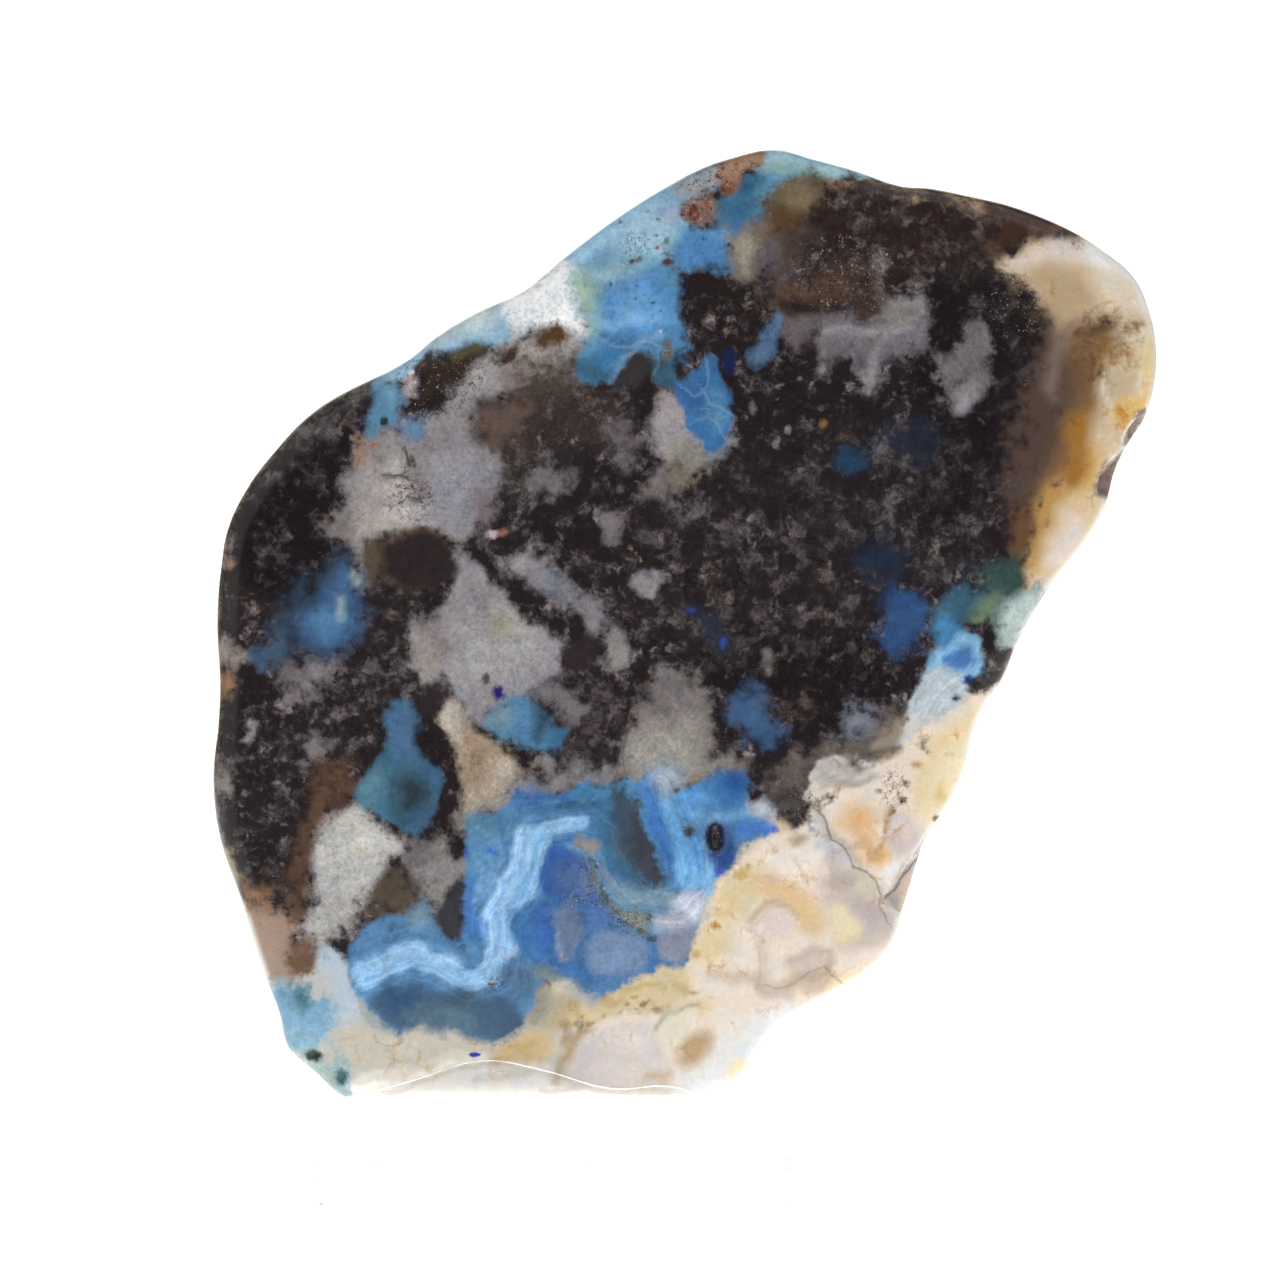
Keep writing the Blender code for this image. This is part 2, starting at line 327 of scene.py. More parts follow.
quartz.patches(
    ((148, 142, 144), 0.5, 3, (-19.8, 46.9), (-18.6, 47.2), (-17.4, 47.4), (-16, 47.9), (-14.6, 49.6),
     (-13.4, 50.8), (-12.9, 52.2), (-11.6, 52.4), (-10.2, 51.4), (-10, 50.2), (-11.2, 49.4), (-12.8, 49.2),
     (-13.3, 48), (-12.8, 46.7), (-11.8, 46.2), (-11.3, 45), (-11.4, 43.6), (-12.3, 42.4), (-12.8, 41.6),
     (-13.1, 40.4), (-13.9, 40.1), (-14.7, 40.5), (-15.4, 41.1), (-16.4, 41), (-18.2, 40.6), (-19.6, 40.2),
     (-19.9, 38.4), (-20.3, 36.8), (-20.5, 38.6), (-21, 40), (-22.2, 40.4), (-22.8, 41.2), (-21.6, 42),
     (-21, 43), (-21.4, 44.1), (-20.7, 45.2)),
    ((165, 159, 158), 0.9, 3, (-13.4, 51.6), (-11.4, 52), (-10.4, 51), (-11.2, 50), (-13, 49.8),
     (-14, 50.2)),
    ((130, 112, 104), 0.7, 3, (-11.4, 51), (-10, 51.8), (-9, 50.8), (-10.4, 49.8)),
    ((152, 151, 160), 1.2, 3, (-16, 45), (-13, 46), (-12, 44), (-13.2, 41.4), (-15.6, 41.8), (-16.6, 43)),
    ((168, 160, 158), 0.7, 3, (-20.6, 44.2), (-19.6, 45), (-18.6, 44.4), (-17.4, 44.2), (-16.4, 43),
     (-16.6, 41.9), (-18.4, 41.2), (-20, 41), (-21.8, 41.2), (-20.4, 42.4)),
    ((186, 181, 178), 0.35, 3, (-18.8, 42.6), (-17.4, 43), (-16.5, 42.8), (-16.6, 41.9), (-17.6, 41.5),
     (-18.6, 41.9), (-19.4, 41.6), (-19.6, 41.2), (-18.6, 41.2)),
    ((178, 168, 166), 0.3, 3, (-18.9, 43.9), (-18.3, 44.3), (-17.6, 44), (-17.4, 43.2), (-18, 42.6),
     (-18.8, 42.8)),
    ((172, 173, 168), 0.3, 3, (-18.7, 45.6), (-18.2, 45.9), (-17.5, 45.7), (-17.4, 45), (-17.9, 44.6),
     (-18.6, 44.9)),
    ((150, 128, 116), 0.5, 3, (-20.8, 45.4), (-20.1, 46.8), (-19.4, 46.8), (-19.6, 45.4), (-20.4, 44.4)),
    ((190, 182, 176), 0.5, 3, (-20.1, 40.6), (-18, 40.9), (-16, 41.5), (-15.4, 41.3), (-17, 41.5),
     (-19, 41.4), (-20.4, 41.1)),
    ((120, 112, 110), 0.9, 2, (-22.6, 41.6), (-21.2, 42), (-20.6, 41.2), (-21.2, 40.2), (-22.6, 40.6)),
    ((132, 124, 126), 0.3, 3, (-17.3, 44.7), (-16.5, 44.9), (-15.9, 44.4), (-15.9, 43.5), (-16.5, 43.1),
     (-17.2, 43.5)),
    ((116, 104, 106), 0.8, 2, (-13.2, 43.4), (-12, 43.6), (-12, 41.6), (-12.8, 41), (-13.4, 42)))
quartz.strokes(
    ((196, 190, 184), 0.25, 2, 0.12, (-18.9, 45), (-18.3, 44.8), (-17.7, 44.9)),
    ((196, 190, 186), 0.25, 2, 0.1, (-19, 43.9), (-18.4, 44.2), (-17.7, 44)))
quartz.patches(
    ((180, 168, 166), 0.3, 3, (-17.6, 50.4), (-16.9, 51.4), (-16.4, 50.6), (-16.7, 49.4), (-17.4, 49.2)))
stain.strokes(
    ((72, 62, 56), 0.25, 1.2, 0.25, (-17.4, 46), (-17.1, 45.4), (-16.8, 45)),
    ((76, 62, 54), 0.25, 1.2, 0.2, (-18.9, 44.7), (-18.2, 44.5), (-17.5, 44.3)),
    ((72, 78, 64), 0.25, 1.2, 0.15, (-16.9, 43), (-16.4, 43.1)),
    ((150, 124, 108), 0.4, 0.6, 0.3, (-20.2, 46.6), (-20, 45.6), (-20.5, 44.6)))
stain.patches(
    ((58, 44, 34), 0.35, 1.2, (-16.9, 48.8), (-16.6, 49.8), (-15.8, 50.6), (-15, 51.4), (-13.8, 52.2),
     (-12.4, 52.7), (-12.5, 52.1), (-13.2, 51.6), (-13.2, 51), (-14.4, 50.2), (-15.2, 50), (-15.8, 49.4),
     (-16.5, 48.9)),
    ((92, 84, 60), 0.3, 0.7, (-14.9, 51.6), (-13.7, 52.5), (-12.4, 52.8), (-12.6, 52.3), (-14, 51.7)),
    ((72, 50, 38), 0.35, 1.0, (-11.9, 51.7), (-11.5, 52.3), (-10.8, 52.7), (-10.3, 53), (-10.3, 52.2),
     (-11, 51.6)),
    ((98, 80, 72), 0.9, 0.6, (-13.3, 49.1), (-11.6, 49.4), (-10, 49.2), (-10.6, 47.2), (-11.6, 46.2),
     (-12.6, 46.6)),
    ((46, 37, 38), 0.45, 3, (-19.4, 40.1), (-18, 40.4), (-16.2, 40.9), (-15.6, 41.1), (-15, 40.4),
     (-14.3, 40), (-14.1, 39), (-14.6, 38), (-15.6, 37.5), (-17.2, 37.6), (-19, 38.2)),
    ((92, 76, 60), 0.5, 0.5, (-20, 40), (-19, 40.4), (-18.9, 38.8), (-19.4, 37.8), (-19.9, 38.6)),
    ((94, 74, 56), 0.3, 0.5, (-19, 40.4), (-16.2, 41.1), (-15.5, 41.2), (-15.2, 40.8), (-16.4, 40.7),
     (-18.6, 40.1)))
azurite.patches(
    ((160, 200, 226), 0.45, 3, (-19.7, 50.2), (-18.8, 52), (-15, 54.6), (-12.2, 56), (-11.2, 54),
     (-11.2, 52.7), (-12.2, 52.7), (-13.4, 52.7), (-14.6, 52.2), (-16.2, 51.9), (-16.9, 51), (-17.6, 50.2),
     (-18.6, 50.2)),
    ((204, 219, 222), 0.8, 3, (-18.4, 51.9), (-15.4, 54.6), (-12.4, 56.4), (-11.8, 54.2), (-13, 53.5),
     (-14.6, 53), (-16.2, 52.3)),
    ((88, 134, 164), 0.5, 3, (-19.5, 50.4), (-18.4, 50.5), (-17.8, 49.8), (-17.5, 48.9), (-18, 48),
     (-19, 46.8), (-19.8, 46.8), (-19.6, 48.2)),
    ((112, 161, 190), 0.4, 3, (-18.9, 50.1), (-18.1, 50), (-17.9, 49.2), (-18.5, 48.9)),
    ((104, 134, 164), 0.7, 0.5, (-17.9, 47.5), (-17.1, 48.1), (-16.2, 48), (-16.4, 46.9), (-17.3, 46.5)))
cracks_and_step_shadow.lines(
    (0.9, (-18.3, 44.5), (-17.7, 44.5), (-17.2, 44.3)),
    (1.0, (-17.3, 46), (-17.2, 45.5), (-17.2, 45.1)),
    (0.8, (-17.4, 43.2), (-16.9, 43), (-16.4, 43.1)),
    (0.4, (-18.9, 42.7), (-18.3, 42.5), (-17.5, 42.9), (-16.5, 42.8)))
grain.spots(
    ((42, 52, 52), -18.75, 47.85, 0.6, 0.6), ((236, 232, 232), -17, 50.9, 0.45, 0.35),
    ((226, 222, 222), -16.8, 50.3, 0.25), ((120, 55, 32), -16.3, 51.4, 0.4, 0.3),
    ((96, 100, 100), -15.6, 51.8, 0.35, 0.25), ((92, 96, 84), -17.2, 45.5, 0.35, 0.8, 0.25),
    ((176, 92, 56), -19.3, 46.4, 0.3, 0.3, 0.3, 0.2), ((206, 186, 184), -12, 40.8, 0.7, 0.5, 0.3, 0.3),
    ((150, 100, 84), -11.3, 40.9, 0.6, 0.4, 0.3, 0.2), ((150, 120, 92), -28.4, 38.9, 0.6, 0.5, 0.3, 0.1))

# Left: the blue patch and the small grey and blue windows below it
azurite.patches(
    ((50, 66, 85), 1.2, 0.4, (-21.4, 39.6), (-20.2, 39), (-19.9, 35), (-21, 33.4), (-23, 33), (-25.4, 34.4),
     (-25.4, 36.4), (-23.4, 38)),
    ((66, 101, 142), 0.8, 3, (-21.2, 39.1), (-20.5, 38.7), (-20.5, 37), (-20.1, 35.4), (-20.6, 34.6),
     (-21.5, 34), (-22, 33.4), (-23, 34), (-24, 34.8), (-24, 35.8), (-23, 36.6), (-22.2, 37.8)),
    ((80, 124, 164), 0.8, 3, (-22.8, 36), (-21.2, 36.2), (-20.6, 35.2), (-21.8, 34.2), (-23.4, 34.8)),
    ((150, 171, 182), 0.3, 3, (-21.6, 37), (-21.2, 37), (-21.2, 35.4), (-21.6, 35.2)),
    ((160, 173, 175), 0.25, 2, (-20.7, 39), (-20.4, 39.1), (-20.5, 37.8), (-20.8, 38)),
    ((66, 89, 116), 0.7, 0.5, (-26.8, 33.6), (-25.8, 34), (-25, 34.4), (-24.3, 34), (-24.6, 33.2),
     (-26, 32.2)),
    ((64, 105, 129), 0.4, 2, (-17.8, 30.4), (-17, 30.5), (-16.7, 29.5), (-16.9, 28.3), (-16.7, 27.2),
     (-16, 26.6), (-15.5, 25.8), (-15.1, 25.2), (-15.5, 24.4), (-15.8, 23.4), (-16.4, 22.5), (-17, 22.2),
     (-17.6, 22.5), (-18.6, 22.8), (-19.4, 23.3), (-20.4, 23.9), (-20.8, 24.3), (-20.5, 25.3), (-20, 26.2),
     (-19, 27), (-18.5, 27.8), (-18.7, 28.8), (-18.3, 29.6)),
    ((76, 109, 144), 0.6, 2, (-18.4, 29.8), (-17, 30.4), (-16.8, 28.4), (-17.2, 27), (-18.4, 27.6)),
    ((88, 130, 147), 0.7, 2, (-20.8, 24.4), (-20.2, 25.9), (-19, 26.2), (-18.7, 24.6), (-19.4, 23.2)),
    ((48, 62, 68), 0.8, 2, (-18, 25.6), (-16.8, 25.8), (-16.2, 24.6), (-16.6, 23.4), (-18, 23)),
    ((66, 99, 134), 0.5, 2, (-16.8, 26.4), (-15.9, 26.4), (-15.2, 25.4), (-15.8, 24.8), (-16.4, 25.4)),
    ((62, 93, 125), 0.5, 2, (-17.4, 23.2), (-16.3, 24.2), (-15.8, 23.4), (-16.6, 22.4)))
quartz.patches(
    ((150, 140, 132), 0.5, 1.5, (-30.6, 34), (-28.6, 34), (-28.2, 33.4), (-26.8, 33.4), (-27.2, 32.8),
     (-28.4, 32.5), (-30.6, 32.3)),
    ((146, 112, 84), 0.5, 0.8, (-30.6, 32), (-28.4, 31.9), (-28, 31.2), (-28.8, 30.6), (-30.6, 30.8)),
    ((126, 119, 122), 0.9, 0.3, (-25, 30.8), (-24.6, 31.9), (-23.4, 32.9), (-22.2, 33.2), (-21.8, 32.2),
     (-22.8, 31.2), (-24, 30.8)),
    ((142, 137, 140), 0.25, 0.7, (-28, 28), (-27.3, 27.7), (-26.7, 28.1), (-26.6, 28.9), (-27, 29.5),
     (-27.3, 29.3), (-27, 28.6), (-27.5, 28.3)),
    ((122, 115, 117), 0.6, 0.3, (-24, 26), (-23.5, 27.2), (-22.8, 28.1), (-22.1, 28), (-22.4, 27.2),
     (-23.2, 26.6)),
    ((132, 126, 122), 0.6, 0.5, (-30.6, 27), (-28.7, 26.6), (-28.3, 25.6), (-28.9, 24.9), (-30.6, 25)),
    ((162, 148, 124), 0.4, 1, (-30, 21.8), (-28.3, 21.3), (-27.9, 20.3), (-27.6, 19), (-28.4, 18.4),
     (-30, 19)))
haze.patches(
    ((98, 90, 88), 0.9, -0.05, (-25.2, 28.4), (-23.6, 28.6), (-23.6, 27), (-24.8, 26.8)),
    ((104, 98, 100), 0.9, 0.05, (-22.6, 29.2), (-21, 29.8), (-19.4, 28.8), (-20.4, 27.8), (-22, 28.2)),
    ((96, 88, 88), 1.5, 0.0, (-25, 34), (-20, 33.4), (-17.6, 36), (-14.6, 32), (-15.6, 30.6), (-19, 30),
     (-25, 30.4)),
    ((80, 74, 76), 1.5, -0.2, (-29, 28), (-20, 27), (-21, 22), (-24, 18), (-28, 20)))
stain.patches(
    ((92, 68, 52), 0.9, 0.3, (-22.6, 26.6), (-21, 26.2), (-20.8, 24.8), (-21.6, 24), (-22.8, 22.8),
     (-23.4, 20.8), (-23.6, 18.4), (-24.2, 16.6), (-24.8, 18), (-24.4, 21), (-23.6, 23.4), (-23.2, 25)))

# Below it: a wedge of white quartz, grey wedges and the tan strip along the fault
quartz.patches(
    ((188, 186, 182), 0.7, 3, (-21.7, 23.6), (-20.6, 23.9), (-19.8, 23.2), (-18.7, 22.4), (-17.5, 21.8),
     (-17.4, 21), (-18.3, 20.4), (-18.9, 19.5), (-19.4, 18.6), (-20.3, 17.5), (-21, 16.5), (-21.8, 15.5),
     (-22.8, 15.1), (-23.7, 15.5), (-23.9, 16.4), (-23.4, 17.3), (-23.2, 19), (-23.3, 21), (-22.9, 22.6)),
    ((200, 198, 192), 1.0, 3, (-21.8, 23.2), (-20, 23.2), (-18.6, 22), (-20, 20.4), (-22.4, 21)),
    ((172, 170, 168), 0.9, 3, (-22.8, 18), (-20.8, 18), (-21.4, 16), (-23.2, 15.2)),
    ((112, 106, 106), 0.5, 0.6, (-17.7, 20.6), (-17, 21.7), (-16, 22.1), (-15.2, 22), (-15.2, 21),
     (-15.7, 20.3), (-17.2, 20)),
    ((138, 134, 132), 0.35, 2, (-15.8, 21.5), (-15.2, 21.9), (-15.1, 20.8), (-14.6, 20.1), (-13.9, 20.6),
     (-13.4, 20.2), (-13.6, 19.4), (-14.5, 18.6), (-15, 17.6), (-15.8, 17.2), (-16.6, 17.8), (-16.8, 18.8),
     (-17.5, 19.8), (-16.8, 20.1), (-15.8, 20.3)),
    ((178, 160, 140), 0.4, 3, (-15.7, 29), (-14.8, 30.4), (-13.9, 30.2), (-13.2, 29.2), (-12.5, 28.2),
     (-11.4, 27.2), (-10.6, 26.2), (-10.4, 25.2), (-11, 24.5), (-12, 23.6), (-12.8, 23), (-13.8, 22.5),
     (-13.9, 24), (-13.9, 25.4), (-14.1, 26.4), (-14.4, 27.5), (-15.1, 28.2)),
    ((204, 194, 180), 0.5, 3, (-15.7, 29.2), (-14.6, 30.3), (-14, 29.2), (-14.2, 27.8), (-15.2, 28.2)),
    ((152, 128, 104), 0.7, 2, (-13.6, 28.6), (-12.6, 28), (-12, 26.6), (-12.4, 25), (-13.2, 25.6)),
    ((186, 174, 160), 0.6, 2, (-12.2, 26.6), (-10.9, 26.4), (-10.6, 25.2), (-11.8, 24.6)))
stain.patches(
    ((84, 72, 60), 0.9, 1.0, (-18.9, 19.6), (-17.8, 20.2), (-17.2, 19.4), (-16.7, 18.4), (-17.2, 17.2),
     (-18.8, 16.9), (-20.4, 16.8), (-19.9, 18)))
stain.patch((54, 54, 60), 0.35, 1.5, [(-13.95, 19.4), (-14.6, 18.4), (-15.2, 17.2), (-15.4, 16.4),
    (-14.8, 15.4), (-13.95, 14.9)], grown=False)
haze.patches(
    ((104, 90, 78), 0.8, 0.2, (-14.8, 20), (-13.9, 21), (-13.9, 15), (-14.9, 15.6), (-15.4, 17)))
glints((-14.2, 50.6, 1.6, 1.2), (-15.6, 49, 1.4, 0.8), (-17.2, 50.6, 0.6, 1.2), (-17, 43, 1.4, 1.2))

# Middle left: the grey quartz windows above the blue vein
quartz.patches(
    ((150, 146, 150), 0.45, 3, (-17.8, 35.2), (-16, 35.6), (-15, 36.2), (-14.4, 38), (-14.3, 39.6),
     (-13.4, 39.7), (-12.6, 39), (-11.9, 37.9), (-11, 36.6), (-10.2, 35.6), (-8.8, 35), (-7.8, 34.2),
     (-7.4, 33.2), (-7.7, 32), (-8.3, 31.2), (-9, 31), (-10.4, 30.4), (-11.6, 30), (-12.2, 28.6),
     (-13.4, 29.4), (-14.6, 30.8), (-15.2, 32), (-16.2, 31.8), (-17.2, 32.6), (-17.6, 34)),
    ((164, 161, 163), 1.0, 3, (-14.6, 34.8), (-13, 36), (-9.6, 34.8), (-9.4, 32), (-12, 31), (-14.2, 31.6)),
    ((160, 152, 144), 0.6, 3, (-17.4, 34.2), (-16.6, 34), (-15.4, 32.6), (-15.6, 31.9), (-16.6, 32.2),
     (-17.3, 33)),
    ((134, 126, 126), 0.7, 3, (-17.6, 35.1), (-15, 35.8), (-14.5, 34), (-15.4, 33), (-16.6, 34.2)),
    ((176, 172, 166), 0.7, 3, (-11.6, 36.3), (-10.4, 35.6), (-9.2, 35.2), (-10, 34.2), (-11.6, 34.4)),
    ((150, 148, 132), 0.7, 3, (-12.4, 35.6), (-11, 35.6), (-10.8, 34.4), (-12.2, 34.4)),
    ((138, 134, 138), 0.6, 1.0, (-11.4, 39.2), (-10.6, 39.7), (-9.6, 39.8), (-8.4, 39.6), (-8, 38.8),
     (-7.4, 38), (-6.8, 37.4), (-5.8, 36.6), (-4.6, 35.8), (-4.8, 34.8), (-6, 34.6), (-6.8, 35.8),
     (-8, 36.8), (-9.6, 37.6), (-10.8, 38.3)),
    ((160, 156, 158), 0.6, 1.2, (-11.2, 39.1), (-10.2, 39.7), (-9.4, 39.2), (-10, 38.4), (-10.8, 38.5)),
    ((118, 122, 132), 0.6, 1.0, (-8.8, 38.8), (-7.6, 38.6), (-7, 37.4), (-8.2, 37)),
    ((140, 134, 132), 0.4, 1.5, (-5.2, 34.8), (-3.8, 35), (-3.4, 34), (-3.4, 32.6), (-4.6, 32.3),
     (-5.3, 32.8), (-4.7, 33.2), (-5, 34)),
    ((118, 112, 114), 0.5, 0.8, (-8.9, 31.2), (-7.6, 31), (-6.6, 30.3), (-6.1, 29.8), (-6.8, 29.2),
     (-7.6, 29.4), (-8.3, 30.2)),
    ((142, 136, 134), 0.45, 1.2, (-9.4, 27), (-8.8, 27.3), (-8.2, 26.3), (-8.1, 25.4), (-8.9, 25.2),
     (-9.4, 26)),
    ((126, 119, 116), 0.5, 1.0, (-7.3, 26.5), (-6.5, 26.9), (-6, 26.2), (-6.1, 25.3), (-7.1, 25.4)))
stain.patches(
    ((46, 38, 42), 0.5, 1.2, (-15.4, 31.9), (-14.9, 30.6), (-15.6, 29.4), (-16.6, 29.4), (-16.8, 30.6),
     (-16.2, 31.6)),
    ((47, 38, 42), 0.5, 1.0, (-7.9, 33.6), (-6.8, 34.4), (-5.7, 34.4), (-5.2, 33.2), (-5.7, 32.2),
     (-6.6, 31.8), (-7.5, 32.2)))
haze.patches(
    ((84, 75, 76), 1.4, 0.25, (-8.6, 31.4), (-6, 31.4), (-4, 30), (-3.8, 26.6), (-5, 25.6), (-9, 25.4)),
    ((104, 92, 84), 0.9, 0.2, (-11.4, 27.4), (-9.4, 27.6), (-9.2, 25.2), (-11, 24.8)))
azurite.patches(
    ((84, 130, 166), 0.5, 2.5, (-11.9, 30.1), (-10.8, 30.7), (-9.2, 31.1), (-8.8, 30), (-8.4, 29),
     (-7.4, 28.9), (-7.4, 27.8), (-8.4, 27.2), (-9.6, 27.4), (-10.8, 27.9), (-11.8, 28.3), (-12.5, 29.2)),
    ((48, 70, 88), 0.45, 2, (-9.3, 30.4), (-8.7, 30.2), (-8.5, 28.4), (-9.3, 27.6)),
    ((62, 105, 142), 0.4, 2, (-8.5, 29), (-7.4, 28.9), (-7.5, 27.6), (-8.4, 27.4)),
    ((128, 155, 169), 0.7, 2, (-12.4, 29.4), (-11, 30.4), (-10.4, 29.4), (-11.6, 28.6)))
grain.spots(
    ((38, 28, 108), -11.6, 30.9, 0.75, 0.95, 0.3), ((84, 78, 84), -12.4, 31.8, 0.4, 0.8, 0.2, 1))

# The pale lobe and blue window in the middle, and the grains around them
quartz.patches(
    ((140, 133, 128), 0.6, 2, (-1.4, 32.6), (-0.7, 32.5), (0.2, 31.7), (0.8, 30.7), (1.4, 29.4), (1.8, 28),
     (1.6, 27), (2.4, 27), (3.1, 27.1), (3.8, 26.8), (3.8, 25.8), (2.4, 25.6), (0.8, 25), (-0.5, 24.8),
     (-2.4, 24.8), (-3.4, 25.1), (-3.9, 26.4), (-3.8, 27.6), (-3.3, 28.9), (-2.7, 30), (-2.3, 31.2)),
    ((116, 110, 111), 0.8, 2, (-2.4, 31.4), (-1.2, 32.8), (0.4, 32), (1, 30.4), (-0.6, 29.9), (-2.4, 30)),
    ((162, 158, 151), 0.8, 2, (-3.4, 28), (-1, 29), (0.8, 28), (0.4, 26.4), (-1.6, 25.8), (-3.4, 26.4)),
    ((148, 162, 174), 0.7, 2, (-2, 26.4), (-0.6, 26.6), (0.2, 25.4), (-0.6, 24.4), (-2.2, 24.4)),
    ((146, 142, 144), 0.35, 0.7, (-3.5, 37.5), (-3, 38.4), (-2, 38.5), (-1.5, 37.8), (-1.8, 37.1),
     (-2.8, 36.8)),
    ((116, 110, 112), 0.4, 0.8, (-5.3, 41.6), (-4.8, 42.4), (-4.2, 41.6), (-3.8, 40.6), (-4.4, 40),
     (-5.1, 40.8)),
    ((116, 112, 114), 0.7, 0.7, (-9.7, 45), (-8.6, 45.5), (-7.4, 45.1), (-6.8, 44.4), (-7.4, 43.5),
     (-8.4, 43), (-9.4, 43.4), (-9.9, 44.2)),
    ((110, 103, 105), 0.8, 0.5, (-4.9, 47), (-4.3, 48.1), (-3.6, 48.3), (-3.3, 47), (-3.1, 45.8),
     (-3.8, 45.1), (-4.6, 45.6)),
    ((122, 114, 114), 0.5, 0.6, (-3.5, 43), (-2.6, 43.9), (-1.8, 44.6), (-0.9, 44.5), (-0.3, 43.8),
     (-1, 43.1), (-2, 43.1), (-2.8, 42.8)))
cracks_and_step_shadow.lines(
    (0.5, (-1.6, 32.6), (-2.3, 31.4), (-2.8, 30), (-3.5, 28.6), (-3.9, 27), (-3.7, 25.9)))
azurite.patches(
    ((62, 89, 127), 0.9, 1.2, (2.2, 29.7), (3.2, 30.8), (4, 31.2), (4.8, 31), (5.2, 30), (6, 28.6),
     (5.9, 27.6), (4.8, 27.7), (3.8, 28.2), (3, 29)),
    ((60, 92, 128), 0.7, 1.5, (3.6, 30.4), (4.6, 30.8), (5.2, 29.4), (5.4, 28.2), (4.6, 28.2), (3.9, 29)),
    ((38, 46, 62), 0.7, 0.3, (0.2, 36.2), (1.6, 36), (2.8, 35), (3, 33.8), (2.2, 33.4), (1.4, 34.6),
     (0.6, 35.4)))
haze.patches(
    ((112, 104, 102), 0.8, 0.15, (4.7, 33.8), (5.6, 34.6), (5.8, 33), (5.2, 31.8)),
    ((100, 80, 70), 0.8, 0.1, (6, 30.4), (7.6, 31), (8.4, 29.4), (7, 28.4)),
    ((84, 76, 76), 1.4, 0.0, (-4, 42), (0, 46), (6, 46), (12, 43), (12, 36), (4, 33), (-3, 35)),
    ((110, 103, 104), 0.7, 0.25, (0.2, 43.2), (1.4, 43.4), (1.6, 42), (0.6, 41.2), (-0.2, 42)),
    ((106, 98, 98), 0.6, 0.2, (3.8, 41), (5, 41.9), (5.2, 40.6), (4.2, 40)),
    ((112, 106, 104), 0.7, 0.2, (5.9, 43.4), (7, 43.8), (7.6, 42.6), (6.6, 41.8), (5.8, 42.4)),
    ((118, 112, 112), 0.6, 0.2, (7.8, 41.6), (9, 42), (9.6, 40.8), (8.4, 40.2)),
    ((122, 112, 108), 0.7, 0.25, (0.6, 39.2), (1.8, 39.6), (2.8, 38.4), (2.4, 37), (1.2, 36.8), (0.6, 37.8)),
    ((110, 96, 90), 0.7, 0.2, (8.2, 38.4), (9.6, 38.6), (10, 37), (8.6, 36.4)),
    ((108, 100, 98), 1.0, 0.1, (-11.6, 46), (-10, 46), (-9.6, 42.4), (-11.6, 41.6)),
    ((96, 88, 88), 0.9, 0.1, (-4.2, 49.8), (-2.8, 50.2), (-2.2, 48.6), (-3.6, 47.8)),
    ((104, 98, 98), 0.6, 0.1, (-6.4, 43), (-5.8, 43.4), (-5.6, 42.4), (-6.3, 42.2)),
    ((106, 98, 96), 0.6, 0.1, (-6.2, 39.6), (-5.6, 39.9), (-5.4, 37.8), (-6, 37.6)))
stain.strokes(
    ((158, 142, 98), 0.12, 1, 0.08, (-3.4, 40.2), (-3.2, 39.6), (-2.95, 39.1), (-2.95, 38.8)),
    ((128, 112, 90), 0.15, 0.8, 0.1, (0.1, 43.6), (0.9, 44.2), (1.8, 44.9)),
    ((24, 17, 21), 0.2, 2, 0.15, (-0.8, 42.4), (-0.4, 41), (-0.3, 39.6), (-0.1, 37.6), (0.4, 36.5)))
grain.spots(
    ((46, 66, 130), 0.4, 36.1, 0.5, 0.35, 0.3, 0.5), ((46, 80, 158), 2.45, 34, 0.45, 0.7, 0.3, 0.6),
    ((150, 144, 142), 6.45, 47.35, 0.4, 0.5, 0.3, 0.4), ((120, 116, 120), 4.3, 48.7, 0.4, 0.9, 0.3, 0.2),
    ((150, 118, 72), 8.7, 47.7, 0.5, 0.6, 0.25, 0.6))

# Pale quartz that the vein lies in
cream.strokes(
    ((212, 194, 158), 0.5, 3, 1.6, (-12.6, 8.4), (-10.6, 9.6), (-9.2, 11.4), (-7.6, 12.4), (-5.6, 11.9),
     (-3.4, 12.6), (-1.2, 13.3), (0.2, 13.6), (0.8, 15.4), (1.6, 17.6), (2.6, 19.4), (3.4, 20.9),
     (4.8, 21.6), (6, 22.6)))
quartz.strokes(
    ((148, 143, 138), 0.6, 1.5, 1.2, (-13.9, 22.7), (-12.2, 23.6), (-10.8, 24.2), (-10, 25), (-8.4, 25.2)),
    ((136, 132, 132), 0.6, 1, 1.0, (-8.4, 25.2), (-7, 25.4), (-5.4, 25.7), (-4, 26)),
    ((150, 158, 160), 0.5, 2, 1.2, (-20.8, 12), (-19.4, 10.6), (-17.6, 9.8), (-14.6, 9.4), (-12.4, 8.9)))

